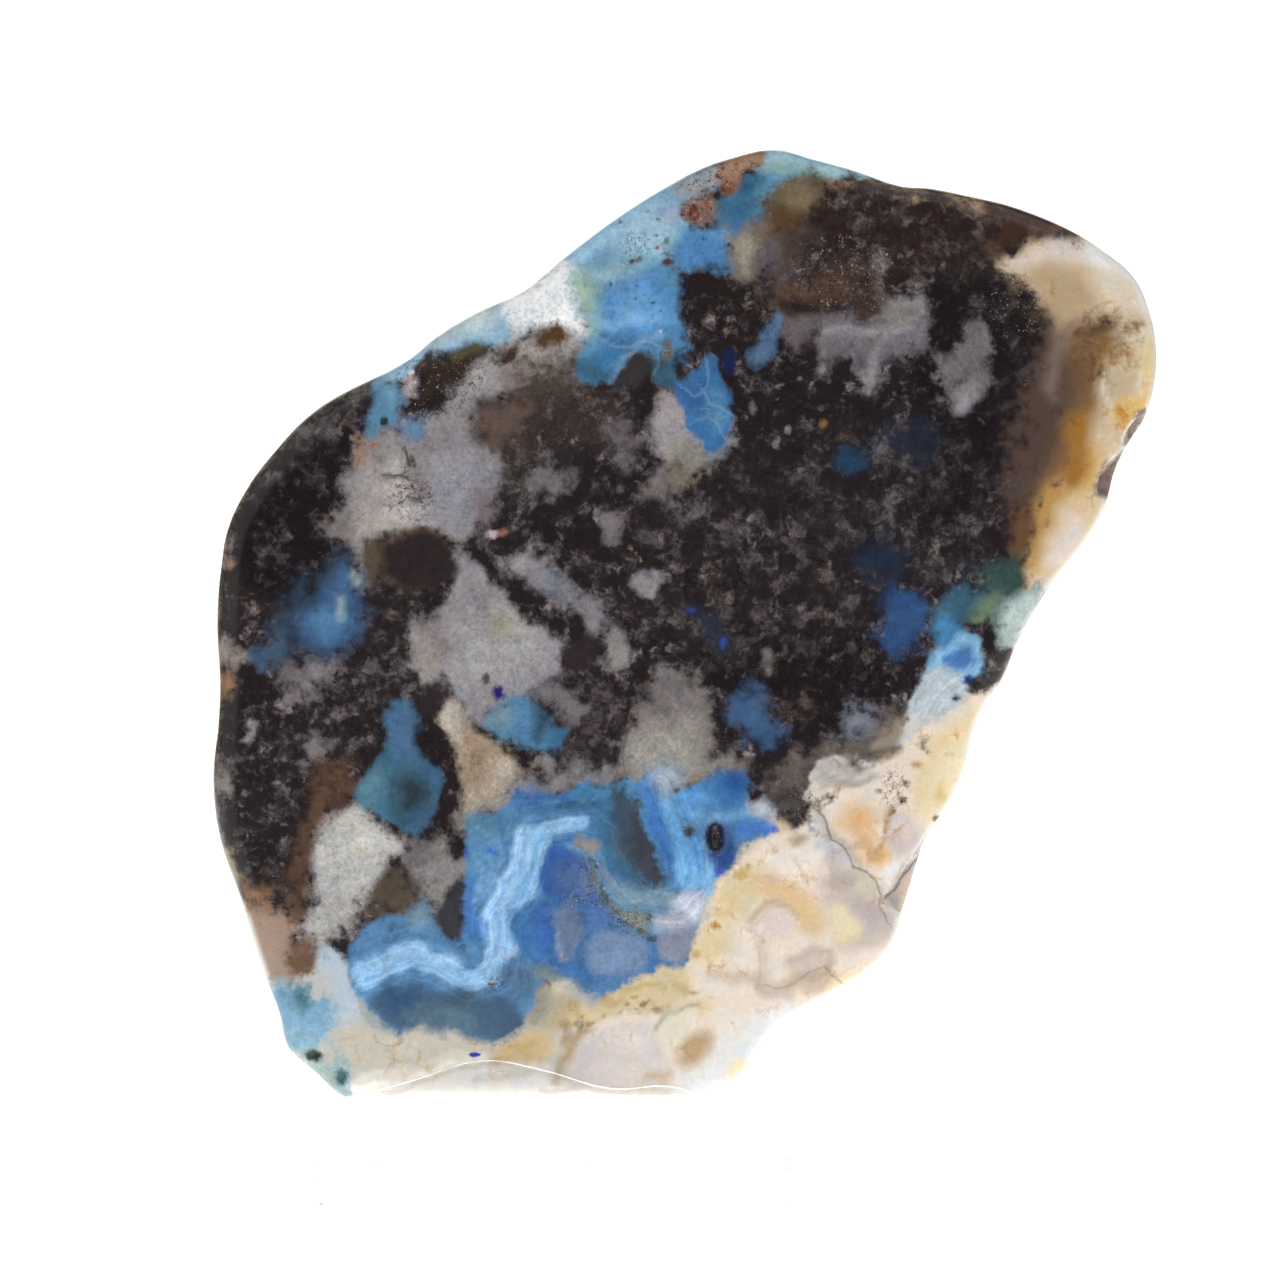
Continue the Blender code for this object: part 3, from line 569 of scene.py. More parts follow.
# The main blue vein: bands of azurite in teal, deep and pale blue around a dark wedge
azurite.patches(
    ((86, 134, 176), 0.35, 4, (-13.85, 22.8), (-13.1, 23.2), (-11.6, 23.4), (-10.6, 24), (-10.2, 24.8),
     (-9.4, 25), (-8.6, 24.9), (-8, 24.5), (-7.2, 25), (-5.8, 25.4), (-4.4, 25.5), (-3.4, 25.8),
     (-2.8, 25.2), (-1.9, 25.8), (-1, 25.6), (-0.3, 24.8), (0.5, 25), (1.2, 25.7), (2, 26.2), (3, 26.1),
     (3.8, 25.9), (4, 25), (4.2, 24), (5, 23.2), (5.8, 22.8), (5.9, 22.2), (5.3, 21.7), (4.5, 21.6),
     (3.4, 21.2), (3.2, 20.4), (2.5, 19.5), (1.9, 18.8), (1.5, 17.6), (0.9, 16.6), (0.5, 15.4), (0.4, 13.4),
     (-1.2, 13.7), (-2.4, 13.4), (-3.4, 12.9), (-4.8, 12), (-6.2, 12.3), (-7.6, 12.9), (-8.5, 12.9),
     (-8.9, 12.2), (-9.4, 11.2), (-10, 10.2), (-11, 9.4), (-12, 8.9), (-13.4, 9.2), (-15, 9.7), (-16.4, 10),
     (-17.8, 9.9), (-18.8, 10.4), (-19.9, 11.2), (-20.9, 12.2), (-21.2, 13.8), (-20.9, 15.2), (-19.8, 16.3),
     (-18.5, 16.9), (-17.4, 17), (-16.2, 16.9), (-15, 16), (-13.85, 15.2)),
    ((66, 112, 150), 0.7, 4, (-9.8, 24.4), (-7.6, 24.3), (-5.4, 25.2), (-4, 25.4), (-3.2, 23.6),
     (-2.4, 21.6), (-1.7, 19.6), (-1.8, 18.6), (-3, 18), (-4.2, 18.4), (-5, 19.6), (-5.2, 21.4),
     (-5.6, 22.6), (-7, 23.2), (-8.8, 23.6)))
azurite.strokes(
    ((64, 108, 172), 0.6, 4, 0.8, (-10.3, 24.4), (-9.4, 24.7), (-8.4, 24.3), (-7.2, 24.6)),
    ((70, 128, 174), 0.7, 4, 0.6, (-6.8, 24.7), (-5.6, 25), (-4.8, 24.6)))
azurite.patches(
    ((56, 84, 100), 0.7, 4, (-4.6, 24), (-3.6, 24.4), (-2.8, 21.8), (-2.2, 19.8), (-3.2, 19.2), (-4.1, 21)),
    ((104, 136, 156), 0.7, 4, (-4.6, 18.6), (-2.8, 19), (-1.4, 18.6), (-0.6, 17.4), (-2.4, 17.4),
     (-4, 17.8)))
azurite.strokes(
    ((146, 170, 188), 0.4, 4, 0.15, (-4.2, 18.9), (-3, 18.4), (-1.6, 18.4), (-0.4, 18)),
    ((138, 166, 186), 0.4, 4, 0.15, (-3.8, 18), (-2.4, 17.8), (-1.2, 17.7)))
azurite.patches(
    ((84, 124, 142), 0.8, 4, (-13.8, 22.9), (-12.4, 23.2), (-11.4, 22.8), (-12.2, 21.8), (-13.6, 22)),
    ((98, 146, 190), 0.8, 4, (-13, 21.8), (-11.2, 22.6), (-11, 20), (-12, 18.4), (-13.2, 19)),
    ((70, 120, 184), 0.6, 4, (-13.85, 19.2), (-13, 19.2), (-12.6, 17), (-12.8, 15.4), (-13.85, 15)),
    ((112, 158, 200), 0.6, 4, (-12.6, 19.4), (-11.4, 20.2), (-10.9, 19), (-12, 17.8), (-12.8, 18.4)),
    ((150, 196, 234), 0.18, 4, (-10.8, 22.7), (-10, 22.8), (-8.6, 22.6), (-7.4, 22.9), (-6.2, 23),
     (-6, 22.2), (-7.2, 22), (-8.5, 21.8), (-8.7, 21), (-9.1, 20.2), (-9.5, 19.7), (-9.2, 18.9),
     (-9.5, 18.2), (-9.9, 17.7), (-10.9, 17), (-11, 16.4), (-10.9, 15.8), (-10.2, 15), (-10.4, 14.3),
     (-11.1, 14), (-11.1, 13.3), (-11.7, 12.7), (-13.2, 12.2), (-14.7, 12.7), (-15.6, 13.2), (-16.6, 13.9),
     (-17.8, 13.6), (-18.8, 12.9), (-19.8, 12.3), (-20.6, 12.6), (-21, 13.4), (-20.4, 14.2), (-19, 14.6),
     (-17.6, 15.2), (-16.2, 15.2), (-14.8, 14.3), (-13.8, 13.4), (-12.6, 13.8), (-12.3, 15), (-12.5, 16),
     (-12.5, 17), (-11.9, 18), (-11.1, 19), (-10.8, 20.4)),
    ((122, 174, 218), 0.3, 4, (-8.8, 22.4), (-9.6, 21.8), (-9.8, 20.6), (-10.4, 19.6), (-10.5, 18.6),
     (-11, 17.8), (-11.7, 16.8), (-11.6, 15.4), (-11.4, 14.6), (-11, 15.4), (-11.2, 16.6), (-10.4, 17.8),
     (-9.6, 18.8), (-9.6, 19.8), (-9, 20.8), (-8.6, 21.8)))
for shade, width, route in (
        ((172, 208, 244), 0.25, [(-10.6, 22.4), (-10.6, 20.8), (-10.9, 19.8), (-11.6, 18.5), (-12.2, 17),
         (-12.1, 15.2), (-12.4, 13.6)]),
        ((104, 156, 208), 0.07, [(-10.2, 22.5), (-10.2, 21), (-10.5, 19.8), (-11.2, 18.6), (-11.8, 17),
         (-11.7, 15.4), (-11.9, 14), (-12.6, 13.2)]),
        ((176, 210, 244), 0.1, [(-9.9, 22.4), (-9.8, 21), (-10.1, 19.8), (-10.6, 18.8), (-11.4, 17),
         (-11.3, 15.6), (-11.5, 14.2), (-12.2, 13)]),
        ((110, 160, 212), 0.06, [(-9.5, 22.2), (-9.4, 21.2), (-9.8, 20), (-10.1, 19), (-10.2, 18),
         (-11.1, 16.8), (-11, 15.4)]),
        ((166, 204, 240), 0.1, [(-8.6, 21.6), (-9.1, 20.8), (-9.5, 20), (-9.3, 19), (-9.6, 18.2),
         (-10.4, 17.6)]),
        ((134, 182, 224), 0.06, [(-10.4, 22.1), (-9, 22.2), (-7.6, 22.5), (-6.6, 22.6)]),
        ((168, 206, 240), 0.08, [(-9, 22.6), (-7.4, 22.8), (-6.4, 22.8)]),
        ((74, 128, 190), 0.12, [(-8.6, 21.7), (-7.7, 21.6), (-7, 21.8), (-6.4, 22.1)]),
        ((166, 186, 228), 0.3, [(-10.4, 15), (-10.6, 14.4), (-11.2, 14.1)]),
        ((134, 180, 222), 0.08, [(-13.3, 20.4), (-12.6, 19.6), (-12.9, 18), (-12.8, 16)]),
        ((62, 112, 178), 0.08, [(-13.5, 18.6), (-13.2, 17), (-13.3, 15.6)]),
        ((84, 134, 186), 0.06, [(-13.1, 18.8), (-12.9, 17), (-12.9, 15.2), (-13.5, 14)]),
        ((122, 168, 206), 0.08, [(-12.8, 22.4), (-11.8, 21.6), (-11.3, 20.4), (-12.2, 19.2)]),
        ((66, 118, 166), 0.08, [(-12.6, 22.8), (-11.6, 22.4), (-11.1, 21.4)]),
        ((174, 208, 240), 0.1, [(-20.4, 13.4), (-19, 14), (-17.4, 14.8), (-16, 14.6), (-14.6, 13.8),
         (-13.6, 13)]),
        ((112, 164, 212), 0.06, [(-20.2, 12.8), (-18.8, 13.4), (-17.6, 14.3), (-16.2, 14.2), (-14.8, 13.4),
         (-13.2, 12.6)]),
        ((74, 122, 150), 0.1, [(-9.4, 23.6), (-7.6, 23.4), (-6.2, 23.8), (-5.2, 23.2), (-4.8, 21.6)]),
        ((96, 148, 178), 0.08, [(-8.8, 24.2), (-7, 24), (-5.6, 24.5)]),
        ((56, 98, 134), 0.1, [(-7.8, 23.9), (-6.4, 24.3), (-5, 24.2), (-4.4, 22.8)])):
    azurite.stroke(shade, 0.16, 4, width, route)
azurite.patches(
    ((54, 96, 164), 0.2, 4, (-8.8, 21.2), (-7.8, 21.5), (-7, 21), (-6.3, 20.3), (-5.6, 19), (-5, 17.6),
     (-6.6, 17.9), (-7.8, 17.7), (-8.8, 18.4), (-9.2, 19.6)),
    ((84, 108, 150), 0.7, 4, (-8.2, 20), (-6.8, 20.2), (-6.2, 19), (-6.8, 18.4), (-8, 18.6)),
    ((100, 120, 160), 0.5, 4, (-6.4, 20), (-5.7, 19.8), (-5.2, 18.6), (-5.6, 18), (-6.4, 18.6)),
    ((62, 110, 162), 0.45, 4, (-10.8, 17), (-9.6, 17.6), (-8.9, 18.4), (-7, 17.8), (-5.2, 17.7),
     (-4.2, 16.4), (-3, 15.8), (-1.8, 15.2), (0.3, 15.4), (0.3, 13.6), (-2, 13.6), (-4, 12.8), (-6, 12.6),
     (-7.8, 13), (-9, 13.6), (-10.2, 14.6), (-10.9, 15.8)),
    ((56, 100, 168), 0.5, 4, (-9.2, 17.6), (-8.2, 17.8), (-8, 15.6), (-8.8, 15), (-9.4, 16.2)),
    ((84, 118, 172), 0.5, 4, (-6.2, 17.8), (-5, 17.6), (-4.3, 16.5), (-5, 15.8), (-6.2, 16)),
    ((100, 118, 150), 0.15, 4, (-8.3, 17.5), (-7, 17.8), (-6.4, 17), (-6.3, 15.6), (-6.8, 14.2),
     (-7.6, 14.1), (-8, 15.5)),
    ((118, 142, 176), 0.4, 4, (-6.2, 15.2), (-5, 15.9), (-3.6, 15.8), (-2.2, 15.4), (-1.9, 14.2),
     (-2.8, 13.4), (-4.4, 13), (-5.6, 13.4)),
    ((136, 144, 164), 0.3, 4, (-1.6, 15.4), (-0.7, 16.3), (0.5, 16.4), (0.5, 14.2), (-0.4, 13.7),
     (-1.6, 14.2)))
azurite.strokes(
    ((160, 178, 200), 0.3, 4, 0.12, (-7.9, 15.8), (-7.7, 14.8), (-7.5, 14.2)),
    ((66, 118, 188), 0.3, 4, 0.3, (-2, 15.2), (-1.85, 14.4), (-1.8, 13.5)),
    ((74, 124, 186), 0.5, 4, 0.5, (-9.2, 14.6), (-8.2, 13.6), (-7, 13.2)),
    ((122, 132, 122), 0.6, 3, 0.7, (-9.8, 13.2), (-8.9, 13.4), (-8.3, 13)))
azurite.patches(
    ((70, 122, 182), 0.4, 4, (-2.9, 25), (-2, 25.1), (-1.5, 24.4), (-1.3, 23.4), (-1, 22.4), (-0.6, 21),
     (-0.8, 20), (-1.1, 19.2), (-1.5, 20), (-2, 21.6), (-2.5, 23.2)),
    ((60, 108, 176), 0.5, 4, (-2.2, 23.4), (-1.5, 23.4), (-1.2, 22), (-1.4, 20.8), (-1.9, 21.8)),
    ((122, 182, 230), 0.35, 4, (-1.4, 24.2), (-0.7, 23.8), (-0.3, 22.8), (-0.3, 21.8), (0.4, 21),
     (0.9, 20.4), (1.1, 19.4), (0.9, 18.4), (0, 18.1), (-0.5, 18.8), (-0.6, 19.8), (-0.4, 21), (-0.9, 22.2),
     (-1.2, 23.2)),
    ((90, 148, 208), 0.35, 4, (0, 21.9), (0.8, 22), (1, 20.6), (0.9, 19.8), (0.4, 20.6)),
    ((134, 188, 234), 0.35, 4, (0.8, 21.6), (1.4, 21.2), (1.8, 20.2), (1.9, 19), (1.5, 18), (1.2, 19),
     (1.2, 20.2)))
azurite.strokes(
    ((86, 144, 204), 0.25, 4, 0.1, (-1, 23.6), (-0.6, 22.4), (-0.1, 21.2), (0.2, 20), (0.1, 18.8)),
    ((92, 150, 208), 0.25, 4, 0.1, (0.9, 21.2), (1, 20), (1.3, 19), (1.2, 18.2)))
azurite.patches(
    ((166, 180, 196), 0.6, 4, (-1.9, 25.6), (-0.9, 26), (-0.2, 25), (-0.6, 24.2), (-1.5, 24.4)),
    ((202, 207, 221), 0.5, 4, (-1.1, 17.8), (-0.2, 18.1), (0.7, 18.4), (1.5, 18.2), (1.2, 16.9), (0.4, 16.3),
     (-0.6, 16.6)),
    ((184, 184, 194), 0.4, 4, (-1.9, 17), (-0.8, 17), (0, 16.2), (-0.9, 15.7), (-1.7, 16)),
    ((90, 150, 206), 0.5, 4, (-0.4, 24.4), (0.6, 25), (1.6, 24.8), (2, 24), (0.8, 23.7), (-0.2, 23.8)),
    ((56, 108, 166), 0.6, 4, (1.4, 25.4), (2, 26.2), (3.8, 26), (4, 24.6), (3.6, 23.7), (2.4, 23.8),
     (1.6, 24.6)),
    ((44, 88, 148), 0.6, 4, (2.6, 25.9), (3.8, 26), (3.8, 24.8), (2.8, 24.8)),
    ((108, 160, 206), 0.4, 4, (-0.2, 23.6), (1.4, 23.4), (3.2, 23.4), (4.6, 23.5), (4, 22.8), (2.6, 22.9),
     (0.4, 22.9)),
    ((176, 182, 194), 0.5, 3, (4.2, 23.9), (5.2, 24.2), (5.9, 23.4), (5.6, 22.9), (4.6, 23.1)),
    ((74, 120, 190), 0.35, 4, (3.2, 22.8), (4.4, 22.9), (5.4, 22.8), (5.8, 22.2), (5.2, 21.8), (4.2, 21.6),
     (3.3, 21.8)),
    ((46, 78, 136), 0.4, 4, (1.2, 22.6), (2.8, 22.8), (3.1, 21.2), (3.1, 20.2), (2.4, 19.5), (1.8, 19.9),
     (1.5, 21)),
    ((62, 90, 116), 0.5, 4, (-19.8, 11.2), (-19, 12.4), (-18.2, 12.8), (-17, 12.9), (-15.8, 12.4),
     (-15.2, 12), (-13.6, 11.7), (-12.4, 11.8), (-11.2, 12), (-10.2, 11.4), (-9.8, 10.2), (-10.8, 9.4),
     (-12, 9), (-13.6, 9.4), (-15.4, 9.8), (-17, 10.2), (-18, 9.9), (-18.8, 10.6)),
    ((46, 84, 124), 0.6, 3, (-19, 12), (-17.6, 12.6), (-16.2, 12.2), (-16.6, 11.2), (-18.2, 11)),
    ((84, 110, 130), 0.7, 2.5, (-17.4, 10.8), (-15.4, 11.4), (-13.6, 10.8), (-14.6, 9.8), (-16.6, 10)),
    ((78, 110, 142), 0.6, 4, (-11.8, 13), (-10.6, 14), (-9.4, 13.6), (-9, 12.2), (-10.4, 11.6)),
    ((60, 84, 102), 0.6, 3, (-14.8, 12.2), (-13.2, 12.2), (-12.4, 11.4), (-14.2, 11)),
    ((84, 112, 132), 0.4, 4, (-16.6, 10.2), (-15.4, 11), (-14, 10.9), (-13, 10.2), (-13.2, 9.4), (-15, 9.6)),
    ((120, 150, 172), 0.5, 2, (-17.6, 17), (-17.3, 18), (-16.7, 18.2), (-16.1, 17.2), (-15.6, 16.4),
     (-16.8, 16.2)))
stain.patches(
    ((62, 78, 94), 0.5, 2, (-4.3, 25.6), (-3.7, 25.3), (-2.6, 22.5), (-2, 20.9), (-1.5, 19.5), (-1.7, 18.8),
     (-2.4, 19), (-3.2, 20), (-3.9, 21.6), (-4.5, 23.2)),
    ((62, 66, 78), 0.14, 3, (-3.6, 23.6), (-3, 23.4), (-2.45, 22), (-1.95, 20.7), (-1.5, 19.5), (-1.7, 18.9),
     (-2.3, 19.3), (-2.9, 20.6), (-3.4, 22)))
stain.strokes(
    ((56, 48, 50), 0.15, 3, 0.08, (-4.1, 25.6), (-3.6, 25), (-3.1, 23.8), (-2.6, 22.4), (-2, 20.8),
     (-1.55, 19.5)),
    ((104, 112, 110), 0.4, 0.8, 0.45, (-6.3, 21.4), (-5.6, 19.9), (-5, 18.4), (-4.3, 17.2), (-3.2, 16.4),
     (-2.3, 16.1)),
    ((146, 140, 136), 0.4, 0.5, 0.35, (-6.4, 21.7), (-5.8, 21.2), (-5.2, 20.9)),
    ((150, 138, 140), 0.25, 0.6, 0.12, (-4.9, 19.7), (-4.5, 19.1), (-4, 18.4)))
stain.patches(
    ((122, 130, 126), 0.5, 0.8, (-4, 17), (-3.2, 17.4), (-2.3, 17.3), (-2.2, 16.6), (-2.8, 16),
     (-3.6, 16.1)))
for shade, width, route in (
        ((110, 84, 54), 0.14, [(-7.2, 21.1), (-6.8, 21), (-6.5, 21.2)]),
        ((58, 50, 48), 0.1, [(-6.4, 20.3), (-5.8, 20.1), (-5.2, 20.1)]),
        ((52, 48, 52), 0.14, [(-7.5, 18.1), (-7, 18), (-6.6, 17.8), (-6.2, 17.7)]),
        ((44, 42, 44), 0.14, [(-4.9, 18), (-4.6, 17.9)]),
        ((60, 54, 52), 0.1, [(-4.7, 16.9), (-4.2, 16.5), (-3.8, 16.1)]),
        ((56, 50, 50), 0.1, [(-2.9, 16), (-2.4, 15.6), (-1.7, 15.45)])):
    stain.stroke(shade, 0.2, 0.8, width, route)
grain.spots(
    ((40, 34, 36), 1.95, 21.85, 1.2, 2.0, 0.5, 1.2), ((46, 42, 46), 0.35, 22.2, 0.7, 0.65, 0.4, 1),
    ((72, 80, 214), 2.3, 19.65, 0.5, 0.4, 0.3, 0.8), ((74, 76, 204), 5.7, 22.3, 0.45, 0.35, 0.3, 0.6),
    ((54, 104, 210), -12.1, 21, 0.7, 0.4, 0.3, 0.5), ((44, 80, 200), -13.6, 20.9, 0.3, 0.5, 0.2, 0.3),
    ((34, 62, 182), -13.1, 8.2, 0.8, 0.3, 0.1), ((130, 80, 60), -12, 12.6, 0.5, 0.3, 0.25, 0.3))
band.lines(
    (1.0, (-20.8, 13), (-19, 13.8), (-17.2, 14.5), (-15.4, 14), (-13.4, 12.9), (-11.9, 13.3), (-11.5, 15),
     (-11.7, 16.6), (-10.6, 18.2), (-10, 19.6), (-9.8, 21), (-9.4, 22.2), (-7.4, 22.5), (-6, 22.7), (-5, 22),
     (-4, 19.6), (-2.6, 18.1), (-0.6, 17.8), (0.6, 19), (0.3, 21), (-0.8, 23), (-1.6, 25)))
glints((-5.3, 18.3, 0.5, 0.6), (-3.4, 16.6, 1.2, 0.6), (-6.8, 17.9, 0.7, 0.3), (-12, 12.6, 0.3, 0.2),
       (1.95, 21.8, 0.5, 0.9), (-5.9, 20, 0.5, 0.3))

# Top: blue azurite along the edge, browned and greenish at the peak, and a dark block below it
matrix.patches(
    ((40, 31, 32), 0.8, 1, (-0.2, 57), (4.6, 57.2), (5, 54), (4, 51.2), (0.4, 51.2), (-0.3, 53)))
quartz.patches(
    # Painted light: pale quartz along the top left rim, laid near white as light shining through the thin
    # edge
    ((252, 254, 255), 0.8, 3, (-13, 55.6), (-11, 57), (-9, 58.6), (-7, 59.6), (-6.2, 57), (-6, 55),
     (-6.2, 53.4), (-7.4, 53), (-9, 53.3), (-11, 53), (-12, 53.6)),
    ((176, 170, 166), 0.8, 2, (-12, 53), (-9.4, 53.2), (-6.6, 53.2), (-5.8, 52.2), (-8, 51.6),
     (-11.4, 51.8)),
    ((164, 157, 159), 0.55, 2.5, (-0.9, 50.2), (-0.3, 49.4), (0.3, 48), (1.6, 47.2), (3, 47.4), (3.3, 48.2),
     (3.3, 47), (2.7, 45.9), (2, 45.2), (0.9, 44.9), (-0.1, 44.9), (-1, 45.2), (-1.9, 45.8), (-2.4, 46.8),
     (-2.2, 47.8), (-1.6, 48.8)),
    ((142, 138, 132), 0.7, 2.5, (-1, 46.6), (0.4, 47), (2.4, 46.6), (2.4, 45.4), (0.8, 44.6), (-0.8, 44.8)),
    ((124, 134, 144), 0.5, 2, (1.4, 46.4), (2.8, 47.2), (3.1, 46.2), (2.2, 45.4)),
    ((120, 112, 102), 0.7, 1.2, (-1.4, 45), (0.2, 45.2), (0.8, 44.4), (-0.2, 43.4), (-1.2, 43.6)),
    ((130, 135, 146), 0.5, 2.5, (2, 46.8), (3.3, 47.8), (3.3, 46.8), (2.6, 45.8), (1.8, 45.4)),
    ((128, 119, 96), 0.7, 2, (5.3, 62.9), (6.6, 63.3), (8, 62.6), (7.8, 61.4), (6.8, 60.4), (5.8, 60.6),
     (5.4, 61.6)),
    ((158, 153, 140), 0.7, 2.5, (2.8, 59.4), (3.8, 60.2), (5.2, 60.2), (5.8, 59), (5.3, 57.6), (4, 56.9),
     (3, 57.2), (2.7, 58.2)),
    ((184, 180, 160), 0.6, 2, (3, 58.8), (3.8, 58.8), (3.8, 57.8), (3.1, 57.8)))
azurite.patches(
    ((104, 155, 189), 0.5, 3, (-7.4, 58.6), (-5, 61), (-2.5, 62.8), (0, 64), (1.6, 64.8), (1.2, 62.9),
     (0.4, 62), (-0.3, 61), (0.4, 60), (1.2, 59.7), (2.2, 60.2), (2, 61.5), (3, 62), (3.4, 63.2),
     (4.5, 63.6), (5.4, 65.8), (7, 65.8), (9, 65.2), (10.8, 64.6), (9.5, 63.2), (7.5, 63.1), (6.2, 62.6),
     (5.4, 61.8), (5.3, 60.2), (4.4, 59.6), (3, 59.4), (2.6, 58.2), (3.2, 57.4), (1.8, 57.1), (0.4, 57.3),
     (-0.4, 57.2), (-0.3, 55), (-0.2, 53), (-0.4, 51), (-1.2, 50.4), (-1.8, 51), (-2.4, 52.2), (-3.4, 51.8),
     (-4.2, 50.5), (-5.6, 50.5), (-7, 51.6), (-6.4, 52.6), (-6, 54), (-6, 56), (-6.3, 57.3)),
    ((70, 126, 173), 0.9, 3, (-5.4, 52.8), (-5.2, 55), (-4.2, 56.2), (-3, 56.6), (-1.6, 57.4), (-0.6, 56.6),
     (-0.2, 54), (-0.4, 51.2), (-1.6, 52.4), (-3, 52.2), (-4.4, 50.8), (-6, 51), (-6.4, 52)),
    ((80, 147, 199), 0.5, 3, (-3.2, 53.6), (-2.2, 54.4), (-1.6, 53.6), (-1.4, 52.6), (-2.6, 52.6)),
    ((60, 105, 132), 0.4, 3, (-6.9, 51.8), (-6, 52), (-4.8, 51.2), (-4.2, 50.4), (-5.8, 50.4), (-6.6, 51)),
    ((164, 208, 234), 0.8, 3, (-8, 59), (-5, 61.5), (-2, 63.2), (0.5, 64.5), (0.3, 62.6), (-1.5, 61.6),
     (-3.5, 60), (-5.5, 58.4), (-6.8, 57.2)),
    ((165, 194, 177), 0.8, 3, (-7, 57), (-5.8, 57.6), (-5.2, 56.2), (-5.4, 54.2), (-6, 53.4), (-6.8, 55.2)),
    ((146, 190, 212), 0.8, 3, (-3.5, 58.3), (-2, 60.6), (-0.5, 60.4), (0.4, 59.8), (1.2, 59.5), (0, 58.8),
     (-1.6, 58.2)),
    ((72, 122, 169), 0.4, 3, (-0.6, 57.4), (-0.7, 58.6), (0, 59), (1.4, 58.9), (2.4, 58.7), (3, 57.9),
     (3, 57.3), (1.8, 57.1), (0.4, 57.4)),
    ((76, 113, 125), 0.5, 3, (1.8, 61.5), (3, 62.6), (4.4, 63.2), (5.2, 62.4), (5.3, 60.2), (4.4, 59.8),
     (3, 59.8), (1.9, 60.2)),
    ((165, 199, 204), 0.5, 3, (4.9, 63.6), (5.6, 66), (8, 65.6), (10.8, 64.8), (10.2, 63.3), (8, 63.4),
     (6.4, 63.4)),
    ((60, 93, 114), 0.35, 2, (-1.9, 51.6), (-1.3, 52.3), (-0.5, 51.5), (-0.3, 50.5), (-1.2, 50),
     (-1.9, 50.6)),
    ((62, 114, 166), 0.3, 3, (1, 51.3), (1.3, 52), (1.8, 52.4), (2.2, 52), (2.3, 51.2), (2.9, 50.2),
     (3.15, 48.6), (3.1, 47.4), (2.4, 46.3), (1.4, 46.1), (0.3, 47.2), (-0.4, 48.6), (-0.7, 50),
     (-0.5, 50.7), (0.4, 50.8)),
    ((58, 105, 155), 0.4, 3, (-0.6, 50.6), (0.8, 50.8), (1.6, 50), (1.4, 48.6), (0.2, 48.2), (-0.4, 49.2)),
    ((84, 134, 176), 0.5, 3, (1.6, 49.8), (2.6, 49.6), (2.9, 48), (2.2, 47.2), (1.4, 47.8), (1, 48.8)),
    ((160, 163, 168), 0.5, 2.5, (-0.6, 62.6), (0.6, 63.4), (2, 64), (2.8, 63.4), (2.2, 62.4), (1.2, 61.9),
     (0, 62)),
    ((160, 136, 126), 0.5, 2, (0, 61.6), (0.8, 62), (1.9, 61.8), (1.9, 60.6), (1, 60.1), (0.2, 60.4)),
    ((186, 148, 120), 0.35, 2.5, (1.9, 63.6), (2.6, 64.2), (4, 64.8), (5.4, 65.2), (5.1, 64.5), (4, 63.9),
     (3.3, 63.4), (2.6, 63.2)),
    ((176, 190, 196), 0.4, 2, (3.9, 63.7), (4.9, 64.2), (5.6, 64.4), (5.4, 63.7), (4.4, 63.5)),
    ((68, 126, 160), 0.35, 3, (3.3, 63.3), (4.8, 63.4), (5.3, 62), (5.4, 60.7), (4.4, 60.1), (3, 60.3),
     (2.3, 60.6), (2.5, 61.7), (3.1, 61.9)),
    ((96, 148, 168), 0.5, 0.6, (4.6, 63.2), (5.3, 62.4), (5.2, 61), (4.6, 61.4)),
    ((58, 96, 132), 0.6, 0.5, (2.6, 61.4), (4, 61.4), (4.2, 60.6), (2.6, 60.7)),
    ((54, 98, 130), 0.5, 2, (3.3, 63.2), (4.2, 63.2), (4.2, 62.2), (3.4, 61.6), (3, 62)),
    ((166, 206, 224), 0.6, 2.5, (5.4, 65.2), (5.2, 64), (6.4, 63.9), (8, 64), (10, 63.8), (11, 63.2),
     (11, 64), (8, 65)),
    ((136, 172, 172), 0.6, 1.2, (5.4, 63.8), (6.6, 64), (8.2, 63.6), (7.6, 62.9), (6, 63)),
    ((88, 142, 196), 0.5, 2.5, (-0.3, 59.6), (1, 59.8), (2.2, 59.4), (2.8, 58.4), (2.4, 57.3), (0.4, 57.2),
     (-0.5, 57.8)),
    ((58, 98, 160), 0.5, 1.5, (2.7, 60.2), (3.6, 60.3), (3.7, 59.7), (3, 59.5)),
    ((168, 204, 226), 0.8, 2, (-4.6, 60), (-2.6, 61), (-1.2, 60.6), (-1, 59), (-2.4, 58.4), (-4.2, 58.6)),
    ((150, 190, 206), 0.8, 1.5, (-5.4, 57.6), (-3.6, 58.4), (-2.6, 57.4), (-3.6, 56.2), (-5.2, 56.4)),
    ((178, 190, 214), 0.6, 2, (-1.9, 61.2), (-0.4, 61.6), (-0.2, 60.6), (-1.2, 60.1)),
    ((104, 160, 214), 0.9, 1.5, (-4.8, 56), (-2, 57), (-1, 55.6), (-0.8, 53.6), (-2.2, 53), (-4.6, 53.4)))
azurite.strokes(
    ((140, 186, 226), 0.6, 1.2, 0.2, (-5.6, 54.4), (-4.6, 53.6), (-3.6, 54.4), (-2.6, 53.8), (-1.6, 54.2)),
    ((138, 178, 214), 0.4, 1.5, 0.2, (-4.2, 50.7), (-3.6, 51.7), (-2.8, 52.4), (-1.4, 53)))
